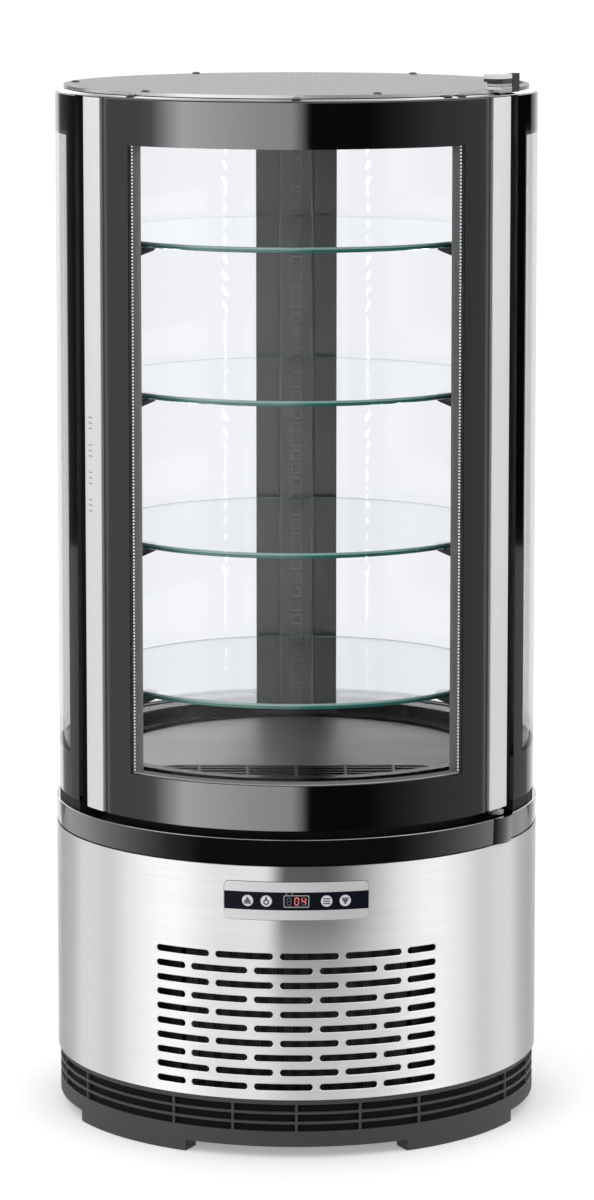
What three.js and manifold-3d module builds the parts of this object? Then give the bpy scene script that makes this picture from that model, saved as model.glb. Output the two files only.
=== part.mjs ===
// Round refrigerated display cabinet for a counter top, in millimetres.
// +Z is up, the ground is z = 0 under the middle of the cabinet, and the door faces -Y.
// Angles are in degrees from the front, positive towards +X.
import * as THREE from "three";
import { mergeVertices } from "three/addons/utils/BufferGeometryUtils.js";
import Module from "manifold-3d";

const wasm = await Module();
wasm.setup();

// Shared values
const facetAngle = 7.5;
const clearance = 0.3;
const overrun = 1;
const lapAngle = 1;
const weldShare = 0.001;
const nearShare = 0.02;
const halfTurn = 180;
const fullTurn = 360;

// Plinth
const bodyRadius = 225;
const plinthInset = 2;
const plinthWall = 3;
const plinthHeight = 54;
const footHeight = 10.4;
const footHalfAngle = 18.3;
const footDepth = 20;
const footAngles = [45, 135, 225, 315];
const flangeWidth = 24;
const flangeThickness = 3;
const ventRows = 3;
const ventHeight = 6.7;
const ventBar = 2.4;
const ventRib = 2.4;
const ventSill = 11;
const ribAngle = 15;
const panThickness = 2;

// Chassis inside the base
const chassisInset = 9;
const chassisPadDepth = 12;
const chassisDeckWidth = 26;
const chassisThickness = 3;
const postDepth = 8;
const postHalfAngle = 3;

// Steel shell with its louvres
const shellThickness = 1.2;
const shellHeight = 214.2;
const seamAngle = 110;
const louvreRows = 10;
const louvreHeight = 6.2;
const louvreSill = 8.6;
const louvrePanelGap = 30.45;
const louvreHalfSpan = 34.1;
const louvreAngle = 13.6;
const louvreGapAngle = 1.55;
const louvreEndSteps = 1;
const louvreReach = 6;
const rearVentRows = 4;
const rearVentPitch = 20;
const rearVentHeight = 7;
const rearVentSill = 26;
const rearVentAngle = 14;
const rearVentAngles = [127, 144, 216, 233];

// Power inlet at the back of the base
const inletWidth = 30;
const inletHeight = 24;
const inletDepth = 22;
const inletWall = 3.5;
const inletBack = 6;
const inletLift = 26;
const inletInset = 1.6;

// Control panel
const panelWidth = 131.6;
const panelHeight = 34.8;
const panelCorner = 5;
const panelThickness = 4.5;
const panelDrop = 14;
const panelCornerSteps = 3;
const boardThickness = 2;
const boardHalfWidth = 59;
const boardHeight = 26;
const bossRadius = 3;
const bossOffset = 55;
const displayWidth = 23.5;
const displayHeight = 11.7;
const buttonRadius = 5.2;
const buttonProud = 0.3;
const buttonTravel = 0.8;
const buttonFlange = 1.6;
const buttonFlangeRadius = 7;
const buttonBackGap = 0.6;
const switchHeight = 1;
const buttonSides = 16;
const innerButtonOffset = 27.1;
const outerButtonOffset = 44;

// Refrigeration machinery
const condenserWidth = 200;
const condenserHeight = 170;
const condenserDepth = 34;
const condenserSetback = 49;
const condenserFins = 14;
const coilFinShare = 0.45;
const coilGrooveShare = 0.12;
const shroudThickness = 2.5;
const fanRadius = 70;
const fanShroudGap = 5;
const fanHubRadius = 20;
const fanDepth = 24;
const fanBladeThickness = 2.2;
const fanBladeChord = 40;
const fanBladePitch = 32;
const fanBlades = 5;
const fanBackGap = 12;
const wheelSides = 24;
const motorRadius = 28;
const motorLength = 40;
const motorFootWidth = 30;
const shaftRadius = 3;
const shaftSides = 16;
const shaftReach = 16;
const compressorRadius = 62;
const compressorHeight = 138;
const compressorDome = 26;
const compressorPlateRadius = 72;
const compressorPlateThickness = 4;
const compressorAngle = 221.6;
const compressorGap = 35.7;
const trayLength = 116;
const trayWidth = 96;
const trayHeight = 30;
const trayWall = 2.5;
const trayOffset = 38;
const trayInset = 36.9;

// Collar round the cabinet floor
const collarHeight = 24.2;
const collarWall = 6;
const collarSideInset = 4;
const collarFlangeThickness = 4;
const frontZoneAngle = 62;
const hingeBumpProud = 4.5;
const hingeBumpFrom = 50.5;
const hingeBumpTo = 59.8;

// Insulated floor of the cabinet
const tubDrop = 3.2;
const tubFloorThickness = 10;
const tubRimWidth = 8;
const floorHeight = 37.2;
const floorPlateThickness = 1;
const ledgeWidth = 20;
const floorLedge = 3.5;
const floorKerb = 10;
const ductPassageWidth = 72;
const ductPassageLap = 10;
const ductPassageDepth = 40;

// Air intake grille in the floor
const grilleInset = 3;
const grilleBackShare = 0.436;
const grilleHalfWidthShare = 0.739;
const grilleShoulderShare = 0.594;
const grilleFrontShare = 0.818;
const grilleRim = 4;
const grilleSlots = 5;
const grilleSlotHeight = 7.5;
const grilleRibPitch = 44.6;
const grilleRibWidth = 3;
const grilleRibCount = 5;
const grilleProud = 0.8;
const grilleCornerSteps = 3;

// Evaporator and its fan
const evaporatorWidth = 210;
const evaporatorLength = 70;
const evaporatorHeight = 46;
const evaporatorPlace = -24;
const evaporatorFins = 14;
const impellerRadius = 43;
const impellerHeight = 26;
const impellerPlate = 2;
const impellerBlades = 12;
const impellerBladeLength = 16;
const impellerHubRadius = 9;
const impellerPlace = 76;
const evaporatorMotorRadius = 24;
const evaporatorMotorHeight = 12;
const fanRunningGap = 0.6;

// Glazing
const glassSetback = 3;
const paneThickness = 4;
const sideGlassAngle = 64;
const sideGlassLift = 1;
const sideBandAngle = 6;
const sideBandBottom = 43.4;
const doorGap = 7;
const doorHeight = 649;
const doorDepth = 14;
const sideGlassDepth = 14.3;
const gasketDepth = 7.3;
const doorGlassAngle = 50.5;
const doorWindowAngle = 42.4;
const doorBandHeight = 41;

// Door profiles, gasket and hinge
const stripFrom = 52;
const stripTo = 60.4;
const stripThickness = 3;
const handleBodyTo = 56.5;
const gasketFrom = 46.5;
const gasketTo = 49.5;
const gasketHeight = 8;
const gasketInset = 6;
const hingeInset = 8;
const hingeAngle = 58.5;
const hingePinRadius = 3;
const hingePinDepth = 12;
const hingeBushRadius = 7.5;
const hingeBushHeight = 4.2;
const hingeWasherRadius = 4.9;
const hingeSides = 16;

// Roof
const doorHeadroom = 0.5;
const ceilingThickness = 37;
const roofRingThickness = 2.5;
const roofRingWidth = 32;
const roofPlateThickness = 2.9;
const roofRimWidth = 7.8;
const hingeBlockRadial = 15;
const hingeBlockWidth = 19;
const hingeBlockHeight = 10;
const hingeCapRadial = 18;
const hingeCapWidth = 21;
const hingeCapHeight = 5.9;
const hingeCapChamfer = 4;
const bracketRadial = 7.3;
const bracketWidth = 14;
const bracketHeight = 16.7;
const bracketInset = 5;

// Uprights, light strips and rear air duct
const uprightDepth = 9;
const uprightStep = 3.7;
const uprightFrom = 46.3;
const uprightBackFrom = 49.8;
const uprightStepAt = 54;
const uprightWallFrom = 64.3;
const uprightTo = 68;
const ledThickness = 2.5;
const ledFrom = 57;
const ledTo = 60;
const ledEndGap = 6;
const ductHalfWidth = 39;
const ridgeHalfWidth = 17;
const ridgeGap = 2;
const wingSetback = 6;
const ductWall = 2;
const ductCoverThickness = 2;
const ductHole = 8;
const ductHolePitch = 13.5;
const ductHoleMargin = 18;

// Shelves and their clips
const shelfCount = 4;
const shelfGap = 6;
const shelfThickness = 5;
const firstShelfHeight = 77.8;
const topShelfRoom = 93.2;
const clipGrip = 15.5;
const clipRootHeight = 9;
const clipTipHeight = 4;
const clipWidth = 14;
const clipAngle = 52;
const rearClipWidth = 16;
const rearClipReach = 14;

// Heights and radii that follow from the sizes above
const plinthRadius = bodyRadius - plinthInset;
const panBottom = footHeight + flangeThickness + clearance;
const panTop = panBottom + panThickness;
const machineFloor = panTop + clearance;
const shellBottom = plinthHeight + clearance;
const shellTop = shellBottom + shellHeight;
const collarBottom = shellTop + clearance;
const collarTop = collarBottom + collarHeight;
const doorBottom = collarTop + doorGap;
const doorTop = doorBottom + doorHeight;
const tubBottom = shellTop - tubDrop;
const tubFloor = tubBottom + tubFloorThickness;
const sideGlassBottom = doorBottom + sideGlassLift;
const floorTop = collarTop + floorHeight + clearance;
const floorUnderside = floorTop - floorPlateThickness;
const ledgeTop = floorTop + floorLedge;
const kerbTop = ledgeTop + floorKerb;
const roofRingBottom = doorTop + doorHeadroom;
const roofRingTop = roofRingBottom + roofRingThickness;
const ceilingBottom = roofRingBottom - clearance - ceilingThickness;
const liningTop = ceilingBottom - clearance;
const sideGlassTop = roofRingBottom - clearance;
const glassOuterRadius = bodyRadius - glassSetback;
const paneCavityOuter = glassOuterRadius - paneThickness - clearance;
const sideInnerRadius = glassOuterRadius - sideGlassDepth;
const linerRadius = sideInnerRadius - clearance;
const doorInnerRadius = glassOuterRadius - doorDepth;
const frontFaceRadius = doorInnerRadius - gasketDepth;
const uprightStepRadius = frontFaceRadius - uprightStep;
const uprightInnerRadius = uprightStepRadius - uprightDepth;
const kerbRadius = uprightInnerRadius;
const floorPlateRadius = kerbRadius - ledgeWidth;
const tubCavityRadius = floorPlateRadius - tubRimWidth;
const shelfRadius = uprightInnerRadius - shelfGap;
const clipTipRadius = shelfRadius - clipGrip;
const roofPlateRadius = glassOuterRadius - roofRimWidth;
const chassisRadius = bodyRadius - chassisInset;
const sideGlassFlat = sideInnerRadius * Math.cos(THREE.MathUtils.degToRad(facetAngle / 2));
const ductCoverBack = Math.sqrt(sideGlassFlat ** 2 - ductHalfWidth ** 2) - clearance;
const ductBack = ductCoverBack - ductCoverThickness - clearance;
const ridgeFront = shelfRadius + ridgeGap;
const ductPassageFrom = tubCavityRadius - ductPassageLap;
const condenserFront = bodyRadius - condenserSetback;
const hingeRadius = glassOuterRadius - hingeInset;
const bracketRadius = glassOuterRadius - bracketInset;
const hingeTurn = THREE.MathUtils.degToRad(hingeAngle);
const hingeX = hingeRadius * Math.sin(hingeTurn);
const hingeY = -hingeRadius * Math.cos(hingeTurn);

// Finishes
const finish = (color, roughness, metalness, opacity = 1) =>
  new THREE.MeshStandardMaterial({ color, roughness, metalness, opacity, transparent: opacity < 1 });
const mattePlastic = finish("#3a3a3b", 0.6, 0);
const glossPlastic = finish("#0b0b0d", 0.15, 0);
const brushedSteel = finish("#c9cacb", 0.35, 1);
const sheetSteel = finish("#9a9c9e", 0.45, 1);
const anodised = finish("#d6d7d8", 0.35, 0.9);
const chrome = finish("#e6e6e6", 0.12, 1);
const clearGlass = finish("#dff0ea", 0.05, 0, 0.3);
const blackPrint = finish("#050506", 0.2, 0);
const rubber = finish("#151515", 0.8, 0);
const copperFins = finish("#a5a8ab", 0.5, 0.8);
const roofGrey = finish("#8f9092", 0.5, 0.3);
const ductGrey = finish("#4d4f52", 0.5, 0.1);
const lampWhite = finish("#f5f7ff", 0.4, 0);
const circuitGreen = finish("#1f5a35", 0.6, 0);
const insulation = finish("#1b1b1d", 0.6, 0);

// Plan shapes: every round wall has its corners on the same facet lines, so nested walls keep
// their gaps, and a wall that ends between two lines ends on the flat there.
const radians = THREE.MathUtils.degToRad;
const angleOf = (length, radius) => THREE.MathUtils.radToDeg(length / radius);
const buttonAngles = {
  button_up: angleOf(-outerButtonOffset, bodyRadius),
  button_lamp: angleOf(-innerButtonOffset, bodyRadius),
  button_set: angleOf(innerButtonOffset, bodyRadius),
  button_down: angleOf(outerButtonOffset, bodyRadius),
};
const planPoint = (radius, angle) =>
  new THREE.Vector2(radius * Math.sin(radians(angle)), -radius * Math.cos(radians(angle)));

function wallPoint(radius, angle) {
  const middle = (Math.floor(angle / facetAngle) + 1 / 2) * facetAngle;
  const flat = radius * Math.cos(radians(facetAngle / 2));
  return planPoint(flat / Math.cos(radians(angle - middle)), angle);
}

function arc(radius, from, to) {
  const step = Math.sign(to - from) * facetAngle;
  const nearLine = facetAngle * nearShare;
  const points = [wallPoint(radius, from)];
  let line = Math.round(from / facetAngle) * facetAngle;
  while ((line - from) * step <= nearLine) line += step;
  for (; (to - line) * step > nearLine; line += step) points.push(planPoint(radius, line));
  points.push(wallPoint(radius, to));
  return points;
}

const sector = (inner, outer, from, to) =>
  new THREE.Shape([...arc(outer, from, to), ...arc(inner, to, from)]);

// The same on either side: 1 is the hinge side and -1 the handle side.
const sideSector = (side, inner, outer, from, to) =>
  side > 0 ? sector(inner, outer, from, to) : sector(inner, outer, -to, -from);

function circle(radius) {
  return arc(radius, 0, fullTurn).slice(0, -1);
}

const disc = (radius) => new THREE.Shape(circle(radius));

function ring(inner, outer) {
  const shape = disc(outer);
  shape.holes.push(new THREE.Path(circle(inner)));
  return shape;
}

// Solids
function solid(geometry) {
  const bare = geometry.clone();
  bare.deleteAttribute("normal");
  bare.deleteAttribute("uv");
  const merged = mergeVertices(bare, clearance * weldShare);
  return new wasm.Manifold(
    new wasm.Mesh({
      numProp: 3,
      vertProperties: new Float32Array(merged.attributes.position.array),
      triVerts: new Uint32Array(merged.index.array),
    })
  );
}

function prism(shape, bottom, top) {
  const geometry = new THREE.ExtrudeGeometry(shape, { depth: top - bottom, bevelEnabled: false });
  return solid(geometry.translate(0, 0, bottom));
}

// A block between two corners, turned about the cabinet's axis by an angle from the front.
function block(low, high, angle = 0) {
  const [width, depth, height] = low.map((value, axis) => high[axis] - value);
  const geometry = new THREE.BoxGeometry(width, depth, height);
  geometry.translate(...low.map((value, axis) => (value + high[axis]) / 2));
  return solid(geometry.rotateZ(radians(angle)));
}

// A round bar that stands upright.
function bar(radius, bottom, top, sides, x = 0, y = 0) {
  const geometry = new THREE.CylinderGeometry(radius, radius, top - bottom, sides);
  return solid(geometry.rotateX(radians(halfTurn / 2)).translate(x, y, (top + bottom) / 2));
}

// A flat outline pushed outwards from the cabinet's axis, at an angle from the front.
function radialPrism(shape, inner, outer, height, angle) {
  const geometry = new THREE.ExtrudeGeometry(shape, { depth: outer - inner, bevelEnabled: false });
  geometry.translate(0, 0, inner).rotateX(radians(halfTurn / 2));
  return solid(geometry.translate(0, 0, height).rotateZ(radians(angle)));
}

function roundedOutline(width, height, corner, steps) {
  const points = [];
  const centres = [
    [width / 2 - corner, height / 2 - corner],
    [corner - width / 2, height / 2 - corner],
    [corner - width / 2, corner - height / 2],
    [width / 2 - corner, corner - height / 2],
  ];
  centres.forEach(([x, y], quarter) => {
    for (let step = 0; step <= steps; step++) {
      const turn = ((quarter + step / steps) * Math.PI) / 2;
      points.push(new THREE.Vector2(x + corner * Math.cos(turn), y + corner * Math.sin(turn)));
    }
  });
  return new THREE.Shape(points);
}

const join = (...solids) => wasm.Manifold.union(solids);
const cut = (body, cutters) => (cutters.length ? body.subtract(join(...cutters)) : body);

const sides = { left: -1, right: 1 };
const cabinet = new THREE.Group();
const base = new THREE.Group();
const interior = new THREE.Group();
const door = new THREE.Group();
cabinet.add(base, interior, door);

function add(group, name, body, material) {
  const { vertProperties, triVerts } = body.getMesh();
  const geometry = new THREE.BufferGeometry();
  geometry.setAttribute("position", new THREE.BufferAttribute(vertProperties, 3));
  geometry.setIndex(new THREE.BufferAttribute(triVerts, 1));
  geometry.computeVertexNormals();
  const mesh = new THREE.Mesh(geometry, material);
  mesh.name = name;
  group.add(mesh);
  return mesh;
}

// Plinth: four feet under a vented skirt, with a flange that carries the base pan
{
  const flangeTop = footHeight + flangeThickness;
  const skirt = prism(ring(plinthRadius - plinthWall, plinthRadius), footHeight, plinthHeight);
  const flange = prism(ring(plinthRadius - flangeWidth, plinthRadius), footHeight, flangeTop);
  const feet = footAngles.map((angle) => {
    const inner = plinthRadius - footDepth;
    return prism(sector(inner, plinthRadius, angle - footHalfAngle, angle + footHalfAngle), 0, flangeTop);
  });
  const ribHalfAngle = angleOf(ventRib, plinthRadius) / 2;
  const ribs = [];
  for (let angle = 0; angle <= fullTurn; angle += ribAngle) {
    if (!footAngles.includes(angle)) ribs.push(angle);
  }
  const vents = [];
  for (let bay = 0; bay + 1 < ribs.length; bay++) {
    const opening = sector(
      plinthRadius - plinthWall - overrun,
      plinthRadius + overrun,
      ribs[bay] + ribHalfAngle,
      ribs[bay + 1] - ribHalfAngle
    );
    for (let row = 0; row < ventRows; row++) {
      const bottom = flangeTop + ventSill + row * (ventHeight + ventBar);
      vents.push(prism(opening, bottom, bottom + ventHeight));
    }
  }
  add(base, "plinth_ring", cut(join(skirt, flange, ...feet), vents), mattePlastic);
  add(base, "base_pan", prism(disc(plinthRadius - plinthWall - clearance), panBottom, panTop), sheetSteel);
}

// Chassis: posts between pads on the base pan and the deck ring that carries the cabinet floor
{
  const outer = chassisRadius;
  const top = tubBottom - clearance;
  const padHalfAngle = 2 * postHalfAngle;
  const pads = footAngles.map((angle) => {
    const pad = sector(outer - chassisPadDepth, outer, angle - padHalfAngle, angle + padHalfAngle);
    return prism(pad, machineFloor, machineFloor + chassisThickness);
  });
  const deck = prism(ring(outer - chassisDeckWidth, outer), top - chassisThickness, top);
  const posts = footAngles.map((angle) =>
    prism(sector(outer - postDepth, outer, angle - postHalfAngle, angle + postHalfAngle), machineFloor, top)
  );
  add(base, "chassis_frame", join(deck, ...posts, ...pads), sheetSteel);
}

// Steel shell: the front wrap has staggered louvres and the control panel's cut-out
const panelMiddle = shellTop - panelDrop - panelHeight / 2;
const inletBottom = shellBottom + inletLift;
{
  const inner = bodyRadius - shellThickness;
  const wrap = prism(sector(inner, bodyRadius, -seamAngle, seamAngle), shellBottom, shellTop);
  const slotOutline = (angle, height) => {
    const width = 2 * bodyRadius * Math.sin(radians(angle / 2));
    return roundedOutline(width, height, height / 2, louvreEndSteps);
  };
  const cutters = [];
  const firstRow = shellBottom + louvreSill + louvreHeight / 2;
  const lastRow = panelMiddle - panelHeight / 2 - louvrePanelGap - louvreHeight / 2;
  const louvrePitch = (lastRow - firstRow) / (louvreRows - 1);
  const slotStep = louvreAngle + louvreGapAngle;
  const lastSlot = louvreHalfSpan - louvreGapAngle;
  for (let row = 0; row < louvreRows; row++) {
    const height = firstRow + row * louvrePitch;
    const side = row % 2 ? 1 : -1;
    for (let from = -louvreHalfSpan; from < lastSlot; from += slotStep) {
      const to = Math.min(from + louvreAngle, louvreHalfSpan);
      const outline = slotOutline(to - from, louvreHeight);
      const middle = (side * (from + to)) / 2;
      cutters.push(radialPrism(outline, bodyRadius - louvreReach, bodyRadius + overrun, height, middle));
    }
  }
  const window = roundedOutline(
    panelWidth + 2 * clearance,
    panelHeight + 2 * clearance,
    panelCorner + clearance,
    panelCornerSteps
  );
  cutters.push(radialPrism(window, bodyRadius / 2, bodyRadius + overrun, panelMiddle, 0));
  add(base, "front_shell", cut(wrap, cutters), brushedSteel);

  const seam = seamAngle + angleOf(clearance, bodyRadius);
  const back = prism(sector(inner, bodyRadius, seam, fullTurn - seam), shellBottom, shellTop);
  const vents = [];
  for (let row = 0; row < rearVentRows; row++) {
    const height = shellBottom + rearVentSill + row * rearVentPitch;
    const outline = slotOutline(rearVentAngle, rearVentHeight);
    for (const angle of rearVentAngles)
      vents.push(radialPrism(outline, bodyRadius - louvreReach, bodyRadius + overrun, height, angle));
  }
  const socketGap = inletWidth / 2 + clearance;
  vents.push(
    block(
      [-socketGap, bodyRadius - inletDepth, inletBottom - clearance],
      [socketGap, bodyRadius + overrun, inletBottom + inletHeight + clearance]
    )
  );
  add(base, "rear_panel", cut(back, vents), brushedSteel);
}

// Power inlet: a recessed socket that sits flush in the rear panel
{
  const mouth = bodyRadius - inletInset;
  const half = inletWidth / 2;
  const body = block([-half, mouth - inletDepth, inletBottom], [half, mouth, inletBottom + inletHeight]);
  const socket = block(
    [inletWall - half, mouth - inletDepth + inletBack, inletBottom + inletWall],
    [half - inletWall, mouth + overrun, inletBottom + inletHeight - inletWall]
  );
  add(base, "power_inlet", cut(body, [socket]), mattePlastic);
}

// Control panel: a fascia in the shell's cut-out, with a board, a display and four buttons behind it
const fasciaBack = bodyRadius - panelThickness;
const boardFront = fasciaBack - buttonBackGap - buttonFlange - buttonTravel - switchHeight;
{
  const panelHalfAngle = THREE.MathUtils.radToDeg(Math.asin(panelWidth / 2 / bodyRadius));
  const low = panelMiddle - panelHeight / 2;
  const plate = prism(
    sector(fasciaBack, bodyRadius, -panelHalfAngle - facetAngle, panelHalfAngle + facetAngle),
    low,
    low + panelHeight
  );
  const outline = roundedOutline(panelWidth, panelHeight, panelCorner, panelCornerSteps);
  const shaped = plate.intersect(radialPrism(outline, bodyRadius / 2, bodyRadius + overrun, panelMiddle, 0));
  const circleOutline = (radius) => {
    const points = [];
    for (let side = 0; side < buttonSides; side++) {
      const turn = (2 * Math.PI * side) / buttonSides;
      points.push(new THREE.Vector2(radius * Math.cos(turn), radius * Math.sin(turn)));
    }
    return new THREE.Shape(points);
  };
  const buttonHole = circleOutline(buttonRadius + clearance);
  const holes = Object.values(buttonAngles).map((angle) =>
    radialPrism(buttonHole, bodyRadius / 2, bodyRadius + overrun, panelMiddle, angle)
  );
  const displayHalf = displayWidth / 2;
  holes.push(
    block(
      [-displayHalf - clearance, -bodyRadius - overrun, panelMiddle - displayHeight / 2 - clearance],
      [displayHalf + clearance, -bodyRadius / 2, panelMiddle + displayHeight / 2 + clearance]
    )
  );
  const bossAngle = angleOf(bossOffset, bodyRadius);
  const bosses = [-bossAngle, bossAngle].map((angle) =>
    radialPrism(circleOutline(bossRadius), boardFront + clearance, fasciaBack + overrun, panelMiddle, angle)
  );
  add(base, "control_fascia", join(cut(shaped, holes), ...bosses), anodised);

  const boardHalfAngle = angleOf(boardHalfWidth, bodyRadius);
  const board = sector(boardFront - boardThickness, boardFront, -boardHalfAngle, boardHalfAngle);
  const boardBottom = panelMiddle - boardHeight / 2;
  add(base, "control_board", prism(board, boardBottom, boardBottom + boardHeight), circuitGreen);
  const display = block(
    [-displayHalf, -bodyRadius + clearance, panelMiddle - displayHeight / 2],
    [displayHalf, -boardFront - clearance, panelMiddle + displayHeight / 2]
  );
  add(base, "control_display", display, glossPlastic);

  const flangeFront = fasciaBack - buttonBackGap;
  const capOutline = circleOutline(buttonRadius);
  const cap = radialPrism(capOutline, flangeFront - overrun, bodyRadius + buttonProud, 0, 0);
  const flangeOutline = circleOutline(buttonFlangeRadius);
  const flange = radialPrism(flangeOutline, flangeFront - buttonFlange, flangeFront, 0, 0);
  for (const [name, angle] of Object.entries(buttonAngles)) {
    const button = add(base, name, join(cap, flange), lampWhite);
    button.position.z = panelMiddle;
    button.rotation.z = radians(angle);
  }
}

// A finned coil: a block with grooves between its fins, standing on z = 0
function finnedCoil(width, depth, height, fins) {
  const pitch = width / fins;
  const groove = depth * coilGrooveShare;
  const cutters = [];
  for (let fin = 1; fin < fins; fin++) {
    const x = -width / 2 + fin * pitch;
    const half = (pitch * coilFinShare) / 2;
    for (const side of [-1, 1]) {
      const face = (side * depth) / 2;
      const low = Math.min(face, face - side * groove) - (side < 0 ? overrun : 0);
      const high = Math.max(face, face - side * groove) + (side > 0 ? overrun : 0);
      cutters.push(block([x - half, low, -overrun], [x + half, high, height + overrun]));
    }
  }
  return cut(block([-width / 2, -depth / 2, 0], [width / 2, depth / 2, height]), cutters);
}

// Condenser behind the louvres, its shroud, and the fan that draws room air through it
{
  const coil = add(
    base,
    "condenser_coil",
    finnedCoil(condenserWidth, condenserDepth, condenserHeight, condenserFins),
    copperFins
  );
  coil.position.set(0, -condenserFront + condenserDepth / 2, machineFloor);

  const shroudFront = -condenserFront + condenserDepth + clearance;
  const fanMiddle = machineFloor + condenserHeight / 2;
  const half = condenserWidth / 2;
  const shroudPlate = block(
    [-half, shroudFront, machineFloor],
    [half, shroudFront + shroudThickness, machineFloor + condenserHeight]
  );
  const tunnelRadius = fanRadius + fanShroudGap;
  const tunnel = new THREE.CylinderGeometry(tunnelRadius, tunnelRadius, condenserDepth, wheelSides);
  tunnel.translate(0, shroudFront, fanMiddle);
  add(base, "condenser_shroud", cut(shroudPlate, [solid(tunnel)]), sheetSteel);

  // The fan turns on the motor's shaft, with the motor behind it on a foot.
  const hub = bar(fanHubRadius, 0, fanDepth, wheelSides);
  const blades = [];
  for (let blade = 0; blade < fanBlades; blade++) {
    const length = fanRadius - fanHubRadius / 2;
    const geometry = new THREE.BoxGeometry(length, fanBladeChord, fanBladeThickness);
    geometry.rotateX(radians(fanBladePitch)).translate(fanHubRadius / 2 + length / 2, 0, fanDepth / 2);
    blades.push(solid(geometry.rotateZ((2 * Math.PI * blade) / fanBlades)));
  }
  const bore = bar(shaftRadius + clearance, -overrun, fanDepth + overrun, shaftSides);
  const fan = add(base, "condenser_fan", cut(join(hub, ...blades), [bore]), mattePlastic);
  const fanBack = shroudFront + shroudThickness + fanBackGap;
  fan.rotation.x = radians(-halfTurn / 2);
  fan.position.set(0, fanBack, fanMiddle);

  const motorFront = fanDepth + clearance;
  const motorBody = bar(motorRadius, motorFront, motorFront + motorLength, wheelSides);
  const shaft = bar(shaftRadius, motorFront - shaftReach, motorFront + overrun, shaftSides);
  const foot = block(
    [-motorFootWidth / 2, 0, motorFront + motorLength / 4],
    [motorFootWidth / 2, fanMiddle - machineFloor, motorFront + (motorLength * 3) / 4]
  );
  const motor = add(base, "condenser_fan_motor", join(motorBody, shaft, foot), sheetSteel);
  motor.rotation.x = radians(-halfTurn / 2);
  motor.position.set(0, fanBack, fanMiddle);
}

// Compressor on its plate, and the tray where the melt water dries
{
  const shoulder = compressorHeight - compressorDome;
  const profile = [
    [0, 0],
    [compressorPlateRadius, 0],
    [compressorPlateRadius, compressorPlateThickness],
    [compressorRadius, compressorPlateThickness],
    [compressorRadius, shoulder],
    [compressorRadius - compressorDome / 4, shoulder + compressorDome / 2],
    [compressorRadius - compressorDome, compressorHeight],
    [0, compressorHeight],
  ].map(([x, y]) => new THREE.Vector2(x, y));
  const can = solid(new THREE.LatheGeometry(profile, wheelSides).rotateX(radians(halfTurn / 2)));
  const compressor = add(base, "compressor", can, glossPlastic);
  const padInner = chassisRadius - chassisPadDepth;
  const compressorPlace = planPoint(padInner - compressorPlateRadius - compressorGap, compressorAngle);
  compressor.position.set(compressorPlace.x, compressorPlace.y, machineFloor);

  const outer = block([-trayWidth / 2, -trayLength / 2, 0], [trayWidth / 2, trayLength / 2, trayHeight]);
  const inner = block(
    [trayWall - trayWidth / 2, trayWall - trayLength / 2, trayWall],
    [trayWidth / 2 - trayWall, trayLength / 2 - trayWall, trayHeight + overrun]
  );
  const tray = add(base, "drip_tray", cut(outer, [inner]), mattePlastic);
  const trayBack = Math.sqrt((bodyRadius - trayInset) ** 2 - (trayOffset + trayWidth) ** 2);
  tray.position.set(trayOffset + trayWidth / 2, trayBack - trayLength / 2, machineFloor);
}

// Collar: proud at the front, set back under the side glass, with a bump that carries the hinge
{
  const side = bodyRadius - collarSideInset;
  const flangeInner = linerRadius + 2 * clearance;
  const flangeBottom = collarTop - collarFlangeThickness;
  const inner = side - collarWall;
  const bump = sector(inner, bodyRadius + hingeBumpProud, hingeBumpFrom, hingeBumpTo);
  const collar = join(
    prism(ring(inner, side), collarBottom, collarTop),
    prism(ring(flangeInner, side), flangeBottom, collarTop),
    prism(sector(inner, bodyRadius, -frontZoneAngle, frontZoneAngle), collarBottom, collarTop),
    prism(bump, collarBottom, collarTop)
  );
  add(base, "collar_ring", collar, glossPlastic);

  const bushTop = collarTop + clearance + hingeBushHeight;
  const bush = join(
    bar(hingeBushRadius, collarTop + clearance, bushTop, hingeSides),
    bar(hingeWasherRadius, bushTop - overrun, doorBottom - clearance, hingeSides),
    bar(hingePinRadius, bushTop - overrun, doorBottom + hingePinDepth, hingeSides)
  );
  const lower = add(base, "lower_hinge_bush", bush, chrome);
  lower.position.set(hingeX, hingeY, 0);
}

// A filled plan with the smaller radius behind the door and the larger one behind the side glass
function zonedPlan(inner, bottom, top) {
  const front = prism(sector(inner, frontFaceRadius, -sideGlassAngle, sideGlassAngle), bottom, top);
  const rear = prism(sector(inner, linerRadius, sideGlassAngle, fullTurn - sideGlassAngle), bottom, top);
  return join(front, rear);
}

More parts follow.
